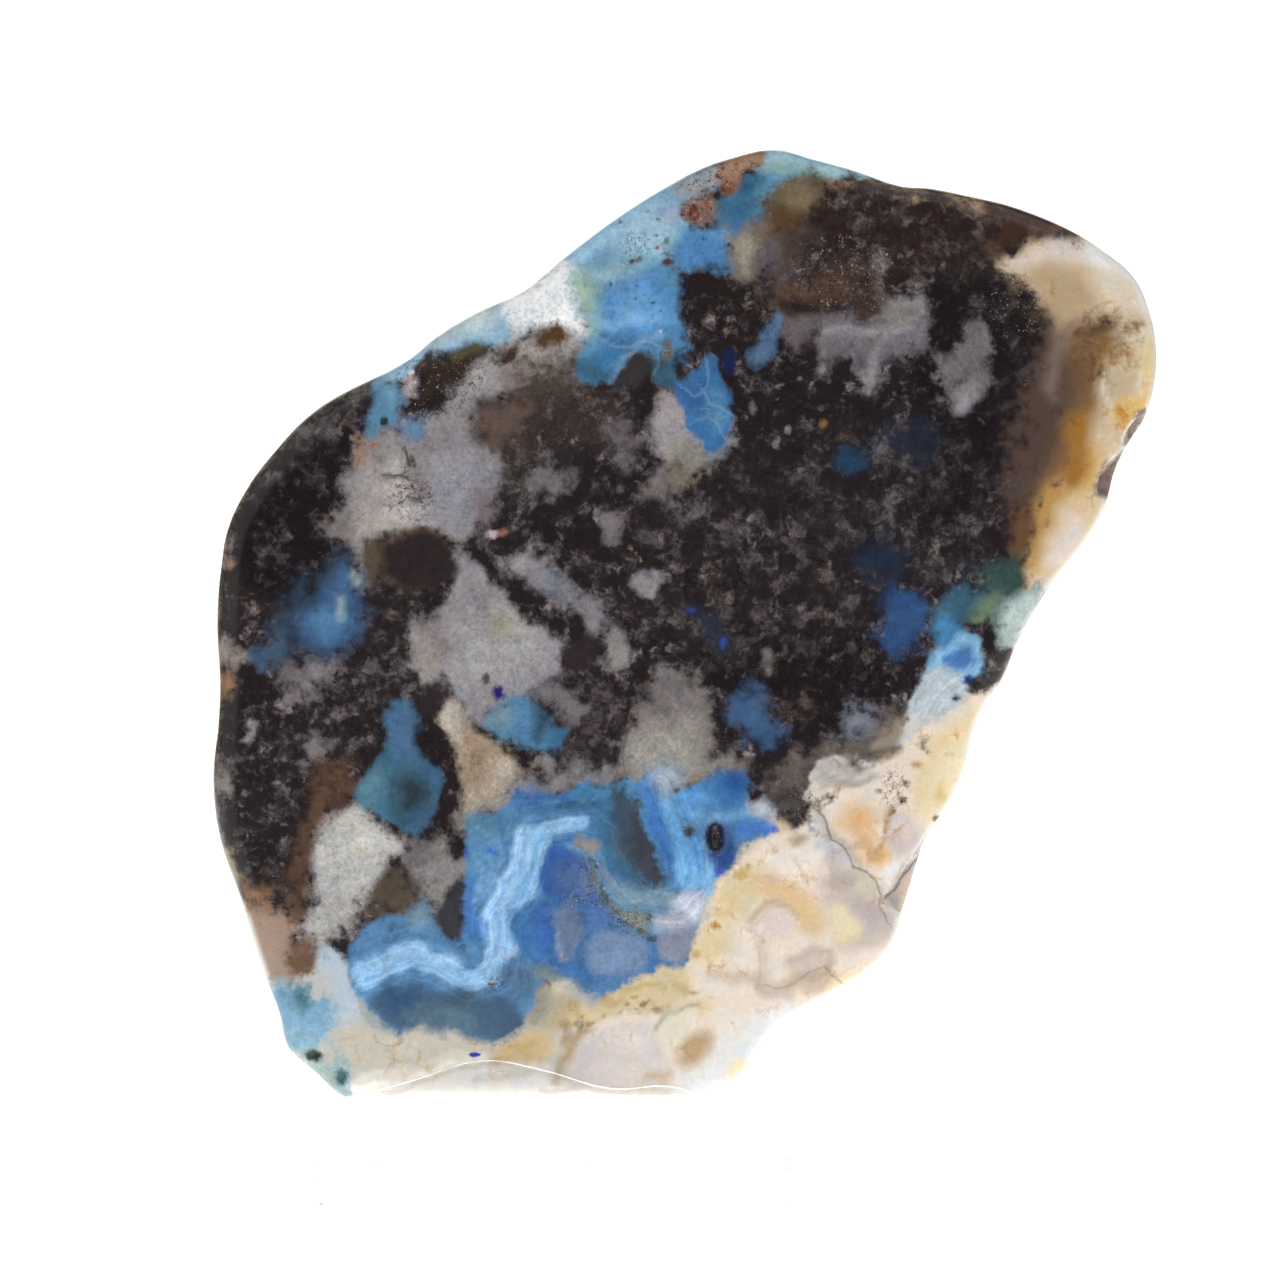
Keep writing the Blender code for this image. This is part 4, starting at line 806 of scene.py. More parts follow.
stain.patches(
    ((56, 52, 54), 0.4, 0.8, (-4.3, 50.5), (-3.7, 51.4), (-2.9, 52), (-2.2, 52), (-1.8, 51.4), (-1.9, 50.6),
     (-2.6, 50), (-3.8, 50)),
    ((118, 104, 80), 0.3, 0.6, (-1.3, 52.6), (-0.8, 52.6), (-0.7, 51.8), (-1.1, 51.5), (-1.4, 52)),
    ((94, 66, 44), 0.5, 0.7, (-9.4, 52.6), (-9, 53.4), (-8.4, 53.9), (-7.5, 53.8), (-7.2, 53), (-7.8, 52.4),
     (-8.8, 52.3)),
    ((84, 70, 62), 1.2, 0.3, (4.6, 60.4), (5.6, 61.6), (7.4, 61.6), (7.8, 59.6), (7, 57.6), (5.4, 56.8),
     (4.4, 58)),
    ((126, 112, 98), 1.0, 0.35, (2.5, 59.2), (4, 60), (5.4, 60.2), (5.5, 59), (5.4, 57.4), (4.4, 56.9),
     (3.4, 57.3), (2.9, 58.2)),
    ((150, 142, 128), 0.6, 0.05, (2.8, 58.8), (3.8, 59.4), (4.4, 58.6), (3.8, 57.4), (3, 57.8)),
    ((96, 88, 92), 0.6, 0.1, (4.8, 58.6), (5.6, 59), (6, 57.6), (5.2, 56.8), (4.6, 57.4)),
    ((96, 82, 60), 0.9, 0.2, (5.4, 61.3), (6, 62.7), (7.4, 62.8), (8.4, 62.9), (7.6, 61.8), (7.3, 60.6),
     (6.6, 60.2), (5.8, 60.8)),
    ((124, 106, 82), 0.5, 0.1, (6.4, 62.4), (7.4, 62.6), (7.8, 61.8), (7, 60.8), (6.3, 61.2)),
    ((140, 105, 95), 0.3, 1.5, (0, 61.4), (0.6, 61.7), (1.6, 61.9), (1.7, 60.9), (1.3, 60.2), (0.4, 60.1),
     (-0.1, 60.7)),
    ((170, 132, 108), 0.35, 1.4, (1.9, 63.3), (2.6, 65), (3.4, 65.4), (4.9, 65.8), (5.3, 64.2), (4.3, 63.7),
     (3.3, 63.3), (3.2, 62.3), (2.7, 61.9), (2.4, 62.4)),
    ((158, 112, 68), 0.3, 0.8, (2.3, 61.9), (2.6, 62.7), (3, 62.6), (3, 61.8)),
    ((100, 70, 46), 0.6, 0.8, (6, 61.2), (7.2, 60.8), (7, 59.8), (5.8, 59.8)))
stain.strokes(
    ((62, 66, 66), 0.35, 0.8, 0.3, (-1.3, 58.9), (-1.1, 58), (-0.7, 57.3)))
stain.patches(
    ((108, 68, 44), 0.35, 0.8, (2.2, 62.6), (2.9, 62.8), (3, 62), (2.5, 61.9)))
haze.patches(
    ((142, 128, 118), 1.0, 0.6, (-12, 51.9), (-9, 52.4), (-6.4, 52.2), (-6, 51), (-8, 50.3), (-11.6, 50.6)),
    ((84, 72, 66), 0.9, 0.1, (-10.5, 50), (-6, 50.4), (-4.6, 49.4), (-8, 48.4), (-10.6, 48.4)),
    ((128, 116, 120), 0.9, 0.5, (5, 57.6), (6.6, 58), (7.9, 57.2), (7.6, 56), (5.8, 55.8)))
thread.lines(
    (0.25, (-5.4, 53.1), (-4.4, 52.5), (-3.4, 52.5), (-2.6, 52.9), (-1.8, 52.7), (-1.3, 52.4)),
    (0.16, (-5.6, 54.4), (-4.8, 54.9), (-3.8, 54.8), (-3, 54.4), (-2.2, 54.6)),
    (0.18, (-4.8, 52.9), (-4.1, 53.7), (-3.2, 53.8)),
    (0.14, (-1.6, 52.2), (-1.6, 51.4), (-1.9, 50.7)),
    (0.23, (0, 49.9), (0.7, 49.4), (1.2, 49.8), (1.6, 48.9), (2.2, 48.8), (2.9, 48.3)),
    (0.18, (1.4, 51.6), (1.5, 50.6), (1.3, 49.8)),
    (0.18, (0.8, 47.9), (1.4, 48.2), (2, 47.8), (2.4, 47)))
grain.spots(
    ((22, 36, 78), 2.8, 51.6, 0.9, 1.7, 0.4, 1))
for x, z in (
        (1.4, 61.5), (0.7, 61), (0.3, 60.8), (1.5, 61.1), (0.9, 60.6), (1.7, 61.9), (2.6, 62.3), (3.2, 63.7),
        (2.1, 63.1)):
    grain.spot((128, 66, 38), x, z, 0.4, 0.3, 0.15, 0.6)
grain.spots(
    ((44, 34, 32), 2.4, 63.65, 0.3, 0.25), ((52, 40, 36), 3.2, 63.6, 0.25), ((44, 36, 34), 1.45, 60.1, 0.35),
    ((52, 44, 42), 1.25, 59.25, 0.35, 0.3), ((40, 34, 36), -0.2, 60.8, 0.35),
    ((52, 42, 38), 0.75, 61.25, 0.35, 0.3, 0.2), ((60, 44, 36), 0.6, 60.4, 0.4, 0.3, 0.2),
    ((200, 120, 60), 1.3, 61.35, 0.3, 0.25, 0.2), ((92, 60, 46), -3.2, 57.8, 0.5, 0.35, 0.15, 1),
    ((80, 66, 58), -2.7, 58, 0.35, 0.3, 0.15, 1), ((84, 62, 52), -1.1, 57.75, 0.7, 0.4, 0.2, 1),
    ((70, 90, 100), -4.6, 56.4, 0.3), ((48, 62, 74), -3, 55.4, 0.25),
    ((160, 100, 70), -1.7, 58.7, 0.35, 0.3), ((58, 78, 90), -4, 60.3, 0.3),
    ((60, 80, 92), -2.3, 60.9, 0.3, 0.25), ((50, 56, 62), -1.8, 59.45, 0.35, 0.25),
    ((64, 74, 80), -1.6, 60.4, 0.3), ((206, 212, 216), -1.5, 53.5, 0.3, 0.2),
    ((40, 60, 80), -1.9, 54.3, 0.35, 0.25), ((44, 66, 86), -2.9, 56.3, 0.3),
    ((40, 56, 70), -1.5, 54.8, 0.3, 0.2), ((52, 66, 60), -1.9, 55.2, 0.3, 0.2))
glints((1.4, 62.8, 1.4, 0.7), (3.8, 63.6, 0.8, 0.3), (0.8, 61, 0.8, 0.7), (-3, 58.9, 0.8, 0.6))

# Right: grey windows in the dark, then smoky brown and amber quartz towards the cream edge
matrix.patches(
    ((29, 22, 26), 1.5, 1, (15, 57), (21, 56.6), (22.6, 53), (21.5, 50), (19.5, 44), (17, 40), (14.6, 42),
     (15, 47), (14, 50)),
    ((30, 23, 26), 1.5, 1, (-2, 33), (2, 35), (10, 35), (13, 33), (13, 28), (6, 27.5), (2, 28)),
    ((48, 34, 32), 1.5, 1, (5, 60), (9, 63.5), (14, 63), (20, 62), (23, 60.6), (19, 57.5), (14, 57),
     (8, 57)))
haze.strokes(
    ((112, 88, 72), 0.8, 0.2, 1.2, (8, 62.6), (11, 62.3), (15, 61.8), (19, 61), (22, 60)))
haze.patches(
    ((92, 80, 74), 1.4, 0.0, (5, 60), (9, 62.5), (14, 62), (19, 60), (22, 58.6), (19.5, 57), (14, 57),
     (8, 57)),
    ((84, 78, 80), 1.3, 0.0, (8, 48), (14, 47), (18, 45), (19, 41), (16, 38), (10, 38), (7, 42)),
    ((98, 92, 92), 0.9, 0.1, (4.4, 57), (6.2, 57), (6, 55.6), (4.6, 55.8)),
    ((96, 88, 86), 0.9, 0.2, (11.4, 61.2), (13.8, 61.2), (13.6, 60.2), (11.6, 60.2)),
    ((98, 88, 84), 0.9, 0.2, (15.4, 58.4), (17.6, 58.8), (19, 58.6), (18, 57.6), (15.8, 57.4)),
    ((124, 120, 122), 0.4, 0.1, (21.1, 54.3), (21.9, 54.3), (22, 53.4), (21.2, 53.4)),
    ((150, 144, 142), 0.5, 0.2, (12.9, 43.2), (13.9, 43.1), (14.2, 42.2), (13.2, 42.2)),
    ((120, 110, 106), 0.7, 0.3, (13.2, 42.4), (14.6, 42.2), (15.2, 41), (14, 40.6)),
    ((122, 114, 108), 0.6, 0.2, (15, 40.6), (16.4, 40.4), (16, 39.2), (14.8, 39.4)),
    ((92, 97, 108), 0.9, 0.2, (17, 40.4), (18.8, 40.6), (18.8, 38.8), (17.4, 38.6)),
    ((86, 92, 100), 0.6, 0.1, (10.8, 45.6), (11.8, 46.8), (12.7, 48.5), (12.9, 47.8), (12.2, 46.2),
     (11.4, 45.2)),
    ((66, 52, 48), 2.2, 1.5, (22, 55), (23.4, 53), (24, 50), (23.6, 46), (22, 42), (20.4, 39.6), (20, 42),
     (20.6, 46), (21.6, 50)))
for route in (
        [(8.6, 63.2), (9.9, 62.9), (10.8, 62.9)], [(12.6, 62.5), (14.4, 62)],
        [(16.8, 61.8), (18, 61.3), (20, 61)], [(21.6, 60.6), (23.2, 60.1)]):
    haze.stroke((170, 140, 110), 0.7, 0.1, 0.5, route)
quartz.patches(
    ((104, 97, 102), 0.6, 0.5, (5.6, 54.5), (7.6, 54.6), (9.5, 54.9), (11, 55.3), (12.3, 55.6), (14.8, 55.9),
     (15.4, 54.5), (15.3, 53.3), (14.8, 52.2), (13.4, 51.8), (12.6, 52), (12.3, 51), (12.1, 50),
     (11.7, 49.8), (11.2, 51), (10.6, 52), (9.4, 51.8), (9, 51), (8.7, 50.7), (8.3, 52.5), (7, 52.5),
     (6, 52.8)),
    ((128, 123, 128), 0.7, 0.9, (8.2, 53.6), (9.6, 54.8), (10.4, 54.4), (10.6, 53.6), (12, 54.6),
     (12.4, 55.8), (14.8, 55.7), (15.3, 54.4), (14.9, 52.4), (13, 52.2), (11, 52.3), (9.4, 52.3),
     (8.3, 52.8)),
    ((134, 132, 130), 0.3, 1.0, (12, 54.4), (13, 55.2), (14.4, 55), (14.6, 54.2), (13.6, 53.8),
     (12.6, 53.9)))
for route in (
        [(12.2, 55.6), (13.2, 55.5), (14.4, 55.3), (15, 54.6)],
        [(8.6, 53.4), (9.8, 53.7), (10.8, 53.3), (12, 53.5), (14, 53.5)],
        [(12.3, 58.2), (12.3, 57), (12.4, 56.1)], [(12.2, 52.2), (12, 51), (11.8, 50)],
        [(10.6, 51.8), (11.1, 51), (11.4, 50.4)], [(17.6, 51.4), (18.4, 52), (18.9, 53.6)],
        [(15.4, 50.4), (16.1, 50.1), (17, 50.4), (17.8, 50.9)], [(8.7, 52), (8.8, 51)]):
    quartz.stroke((160, 156, 160), 0.35, 0.25, 0.12, route)
quartz.patches(
    ((118, 113, 115), 0.4, 0.6, (18.3, 54.5), (18.8, 54.2), (19.2, 53), (19.1, 51.5), (18.9, 50.2),
     (18.5, 48.8), (17.8, 48.2), (17.2, 48.4), (16.9, 49.3), (16.2, 50), (15.5, 50.8), (15.3, 51.5),
     (16, 51.8), (17, 51.6), (17.4, 52.2), (17.4, 53.2), (17.8, 54)),
    ((150, 146, 150), 0.4, 1.2, (17, 50), (18.2, 50.3), (18.4, 49.2), (17.7, 48.4), (17.1, 48.9)),
    ((112, 105, 106), 0.4, 0.5, (11.6, 58.6), (12.2, 58.4), (12.5, 55.5), (11.4, 55.6), (11.3, 57)),
    ((92, 72, 60), 1.2, 0.2, (5.6, 56), (9, 57), (11.4, 57.2), (12, 55.9), (9, 55.2), (6, 55)))
quartz.strokes(
    ((98, 80, 68), 1.1, 0.4, 1.2, (19.6, 58.4), (21, 57), (22, 56), (22.8, 54.6), (23, 53)))
stain.patches(
    ((70, 54, 50), 0.5, 0.7, (10.2, 54.9), (10.4, 55.6), (11.7, 55.7), (11.8, 54.9), (11.1, 54.3),
     (10.8, 53.8), (10.5, 54.2)),
    ((58, 46, 46), 0.4, 0.5, (7.4, 53.4), (7.9, 53.8), (8, 52.6), (7.7, 52), (7.3, 52.4)))
stain.strokes(
    ((60, 48, 50), 0.3, 0.5, 0.1, (16.6, 50.2), (17.2, 50.4), (18, 51)))
stain.patches(
    ((92, 70, 58), 1.0, 0.7, (24.8, 53.8), (25.8, 54.7), (26.9, 54.2), (26.7, 53), (25.4, 52.6)),
    ((112, 82, 62), 1.2, 0.3, (24.8, 52.6), (26.6, 52.6), (26, 50.6), (24.6, 50)),
    ((150, 114, 66), 1.0, 0.4, (26, 53), (27.2, 52.9), (28.1, 52.3), (27.4, 51.7), (26.4, 51.8)),
    ((150, 118, 86), 0.5, 0.5, (27.6, 54.2), (28.5, 54.2), (28.4, 53.2), (27.8, 53.2)),
    ((206, 146, 70), 0.5, 0.6, (26.9, 48.6), (27.8, 49), (27.9, 48.2), (27.2, 47.4)),
    ((70, 46, 38), 0.9, 0.5, (19.4, 62), (21.4, 61.6), (23, 61), (24.7, 59.7), (24.2, 59.3), (22.6, 59.3),
     (21.2, 59.6), (20.4, 58.8), (19.6, 58)),
    ((128, 96, 70), 0.5, 0.3, (22.8, 60.8), (24.4, 60), (24.8, 59.5), (23.8, 59.4), (22.8, 59.8)),
    ((150, 132, 122), 0.3, 1.5, (25.8, 43.6), (25.7, 44.3), (26.2, 45), (26.9, 46), (27.8, 46.2), (27.4, 45),
     (27.2, 43.8), (26.8, 43.1), (26.2, 43)),
    ((152, 134, 122), 0.3, 1.5, (27.2, 46.7), (27.6, 47.6), (28.2, 48.6), (28.8, 48.6), (28.9, 47.6),
     (28.4, 46.8), (27.8, 46.3)))
stain.strokes(
    ((110, 80, 60), 0.3, 1, 0.3, (26.2, 44.4), (26.6, 45.2), (27.2, 45.8)),
    ((92, 82, 66), 0.25, 1, 0.2, (27.3, 46.9), (27.9, 47.7), (28.5, 48.3)))
azurite.patches(
    ((88, 118, 152), 0.5, 0.8, (3.9, 51.6), (4.5, 52.8), (5.2, 53.8), (5.7, 54.4), (5.9, 54), (5.5, 52.8),
     (5.1, 51.6), (4.4, 51.3)),
    ((36, 66, 96), 0.6, 0.3, (9.2, 45.4), (10.2, 46), (11, 46), (11.2, 45), (10, 44.6)),
    ((36, 43, 58), 1.2, 0.6, (12.9, 47.4), (14.4, 48.2), (15.7, 47.4), (15.6, 45.8), (14.2, 45.3),
     (13.1, 46)),
    ((34, 45, 64), 1.1, 0.6, (11, 39.8), (12.4, 40.5), (13.8, 39.8), (13.6, 38.4), (12.4, 37.7),
     (11.2, 38.4)))
cream.patches(
    ((222, 200, 166), 0.7, 3, (19.6, 57.6), (20.2, 58.2), (21, 59), (22, 59.3), (24, 59.2), (25.4, 59.6),
     (29, 59), (33, 56), (33, 50), (31, 46), (28, 42), (26, 38), (23.4, 34), (21.6, 32.6), (20.6, 34.4),
     (21.4, 37), (21.4, 39), (22, 41), (22.8, 43), (23.4, 45), (23.6, 48), (23.8, 50), (23.2, 52),
     (22.8, 54), (21.8, 56)),
    ((232, 216, 204), 0.6, 3, (20, 57.8), (21.2, 58.7), (22.6, 59.2), (24.6, 59.2), (25.4, 58), (23.6, 57.6),
     (21.6, 57.5)),
    # Painted light: the pale cream of the top right rim, laid near white as light shining through the thin
    # edge
    ((255, 252, 246), 0.7, 4, (24.6, 59.6), (28, 60), (31, 56), (29.8, 53.8), (28.2, 55.2), (27.4, 56.6),
     (26, 57.4), (25, 58.2)),
    ((196, 170, 136), 0.9, 3, (21.4, 57.2), (23, 57.6), (25, 57.2), (26.2, 56.2), (25.4, 55), (23.6, 54.4),
     (22.2, 54.8)),
    ((238, 222, 198), 0.9, 3, (25, 57.4), (26.8, 57), (28, 55.8), (27.6, 54.9), (26, 55.2)),
    ((240, 224, 200), 0.5, 3, (28, 53.8), (30, 54.4), (30, 52.6), (28.4, 52.6)),
    ((238, 214, 160), 0.6, 3, (28.6, 52.6), (30.6, 52.6), (30.6, 49), (29.4, 47.8), (28.6, 49.4)),
    ((208, 188, 156), 0.5, 3, (26.4, 51.4), (27.6, 51.5), (28.2, 50.4), (27.6, 49.2), (26.6, 49.2),
     (26.2, 50.2)),
    ((236, 196, 122), 0.5, 3, (27.4, 49.6), (28.8, 49.8), (29.4, 48.6), (28, 48.2), (27.2, 47.6),
     (26.8, 48.6)),
    ((224, 198, 158), 0.5, 3, (25.8, 47.8), (27, 47.6), (27.2, 46.6), (26, 45.8), (25.6, 46.8)),
    ((222, 184, 118), 0.7, 3, (24.8, 46.6), (25.8, 46.2), (26.4, 44.6), (25.4, 42.6), (24, 42), (24, 44.4)),
    ((226, 200, 160), 0.7, 3, (24, 42.6), (25, 43.6), (26.6, 43), (26.2, 41), (24, 38.4), (22.4, 37),
     (22, 38), (22.8, 40.6)),
    ((236, 220, 206), 0.6, 3, (23, 40.6), (24.2, 42.2), (25.2, 41.6), (24.4, 39.6), (23.2, 38.6),
     (22.6, 39)),
    ((226, 214, 204), 0.7, 3, (21, 36.4), (22.2, 37.6), (23.4, 38), (24.6, 37), (22.4, 33), (20.8, 33),
     (20.4, 35)),
    ((146, 112, 72), 0.8, 3, (23.2, 53.2), (24.2, 54), (25.2, 54.4), (26.4, 54.4), (27.2, 53.4), (27, 52.2),
     (26, 51.4), (25.8, 50), (25.9, 48.4), (25, 47.6), (24.4, 46.2), (24, 44.8), (23, 43.4), (22.4, 41.4),
     (21.6, 40.6), (21, 42), (22, 45), (23, 48), (23.2, 51)),
    ((88, 70, 62), 1.5, 2, (22.2, 54.4), (23.2, 54), (24, 52.6), (24.6, 51), (24.4, 49), (23.8, 47),
     (23, 45.4), (21.6, 43), (20.4, 42), (20, 45), (21.2, 49), (22, 52)))
cream.strokes(
    ((146, 124, 110), 0.8, 2.5, 0.5, (24.4, 54.4), (23.8, 53.2), (23, 51.6), (22.8, 49.6)))
cream.patches(
    ((168, 118, 48), 0.7, 2, (24, 48.2), (25, 48.4), (25.4, 47.2), (24.8, 45.8), (24, 45.8), (23.8, 47)),
    ((166, 116, 54), 0.6, 2.5, (23.8, 46), (24.8, 46.2), (25.4, 45), (24.8, 43.8), (23.8, 43.4),
     (23.4, 44.6)),
    ((196, 152, 88), 0.6, 2.5, (22.6, 44), (23.6, 44), (24, 43), (23, 41.8), (22.6, 40), (22.2, 38.4),
     (21.6, 38.6), (21.8, 41)),
    ((108, 78, 54), 0.7, 2, (20.6, 42.6), (21.6, 42.4), (21.8, 40.6), (21.2, 38.8), (20.2, 38.6),
     (20.2, 40.6)))
for route in (
        [(26.1, 50.9), (26.2, 49.6), (26.8, 48.9)], [(28.5, 51), (28.2, 50.2), (28.6, 49.5)],
        [(25.8, 47), (26.4, 47.2), (26.7, 46.5)]):
    cream.stroke((244, 232, 212), 0.2, 2, 0.1, route)
grain.spots(
    ((222, 216, 212), 28.6, 47.2, 0.5, 0.4, 0.3, 0.6))

# Lower right of the dark: blue and teal windows, pale wavy bands and the grey-green rind
azurite.patches(
    ((50, 81, 127), 0.9, 1.4, (12.3, 37.3), (13.4, 37.7), (14.8, 37.3), (15.4, 36.2), (15.3, 35),
     (14.4, 33.4), (12.4, 33.4), (12.5, 35.4)),
    ((58, 97, 118), 0.8, 1.4, (16.2, 37.2), (17.4, 37.8), (18.4, 37.2), (19.4, 37.6), (20.6, 37.5),
     (21.3, 36.6), (20.4, 35.7), (18.4, 35.4), (17, 34.4), (15.6, 34.4), (15.9, 36)),
    ((58, 84, 80), 0.8, 0.9, (19.4, 39), (20.6, 39.4), (21.4, 38.3), (21.5, 37.2), (20.4, 36.9),
     (19.2, 37.4), (18.4, 38)),
    ((74, 130, 175), 0.5, 1.8, (15.6, 34.4), (16, 35.8), (17, 35.8), (17.6, 34.6), (18.2, 33.4), (17, 33),
     (15.8, 33.4)),
    ((134, 182, 215), 0.35, 2.5, (15.2, 32.6), (15.8, 33.6), (16.6, 33.6), (17.6, 34.4), (18.6, 34),
     (18.6, 32.8), (18.2, 31.8), (17, 31.4), (15.8, 31.6)),
    ((72, 120, 180), 0.25, 2.5, (16.2, 33), (17, 33.4), (18, 33.4), (18.2, 32.6), (17.2, 32.3),
     (16.4, 32.4)),
    ((112, 130, 104), 0.6, 1.4, (18.2, 36.2), (19, 37.1), (19.9, 37.5), (19.8, 36.6), (19.3, 35.4),
     (18.7, 34.6), (18, 35)),
    ((188, 208, 203), 0.7, 2.5, (19.6, 35.4), (20.2, 36.6), (21.2, 37.4), (22.2, 37.6), (22.8, 36.8),
     (21.6, 34.6), (20.2, 33.4)),
    ((196, 208, 214), 0.4, 2.5, (13.8, 30.4), (14.6, 31.8), (15.6, 32.6), (16.8, 32.2), (17.6, 31.4),
     (17, 30), (15.4, 29.4), (14, 29.4)))
band.lines(
    (0.8, (13.2, 27.4), (14.4, 29.8), (15.4, 31.4), (17, 32.6), (18.2, 34.6)))
grain.spots(
    ((30, 46, 110), 17.8, 31.7, 0.7, 0.6, 0.25, 1), ((34, 50, 100), 17, 30.6, 0.6, 0.5, 0.25, 1),
    ((118, 112, 112), 5.2, 33.3, 0.6, 1.0, 0.4, 0.3))

# Cream quartz in the lower right, with orange clouds, folds and grey creases, and painted shadows beside a
# few grains, along a crack and at the foot of the chip
cream.patches(
    ((238, 224, 208), 0.4, 4, (-7.2, 3), (-7.7, 7), (-6.6, 9), (-6.2, 10.4), (-4.4, 11.2), (-2.6, 11.2),
     (-1.6, 10.8), (0, 13.4), (0.6, 14.6), (0.7, 16), (1.3, 17.6), (1.9, 19.2), (3.1, 20.5), (4.2, 21.4),
     (5.6, 22), (6.2, 22.5), (7.2, 22.7), (7.9, 23.6), (8.2, 24.6), (8.8, 25.4), (10.2, 25.8), (11.6, 25.9),
     (12.6, 26.8), (13.8, 27.2), (13.5, 28.6), (14.2, 30), (15.6, 29.8), (17, 30.4), (18.2, 30.8),
     (19.6, 31.6), (21, 33), (27, 33), (27, 3)),
    ((186, 181, 178), 0.3, 2, (7.6, 25.4), (8.6, 26.4), (9.6, 27.1), (10.4, 26.9), (10.7, 26.3),
     (11.9, 25.8), (11.6, 25.3), (9.4, 25.2), (8.2, 24.8)),
    ((152, 142, 126), 0.4, 2, (11.9, 26.8), (12.6, 28.6), (13.6, 29.4), (13.9, 27.8), (13.4, 27),
     (12.6, 26.7)),
    ((214, 208, 198), 0.3, 3, (7.4, 24.6), (8, 25.3), (8.9, 25.1), (9, 24.5), (8.2, 24.1), (7.6, 24.2)))
for shade, width, route in (
        ((222, 219, 218), 0.2, [(8, 25.5), (9.2, 25.9), (10.6, 25.8), (11.7, 25.6)]),
        ((214, 212, 214), 0.15, [(8.3, 26.1), (9, 26.7), (10, 27)]),
        ((104, 92, 74), 0.22, [(10.3, 27.7), (10.9, 27), (10.5, 26.5), (11.1, 26.1)]),
        ((216, 212, 210), 0.15, [(11, 26.8), (11.5, 26.3), (11.9, 25.7)]),
        ((150, 134, 102), 0.12, [(8.9, 25), (10.4, 25.2), (12.2, 25.5)]),
        ((158, 146, 126), 0.12, [(8.6, 25.9), (9.8, 25.6), (10.8, 26)]),
        ((82, 66, 54), 0.2, [(12, 26.8), (12.7, 27), (13.3, 27.2)]),
        ((120, 104, 84), 0.15, [(12.3, 27.8), (13, 28.4), (13.1, 29.4)]),
        ((206, 208, 216), 0.35, [(13.8, 27.7), (14.2, 28.8), (15, 29.6), (16, 30.6)]),
        ((188, 190, 200), 0.15, [(14.4, 28), (14.8, 29), (15.8, 29.8)]),
        ((206, 178, 138), 0.15, [(14.9, 25.2), (15.1, 25.9), (14.8, 26.6)])):
    cream.stroke(shade, 0.3, 2, width, route)
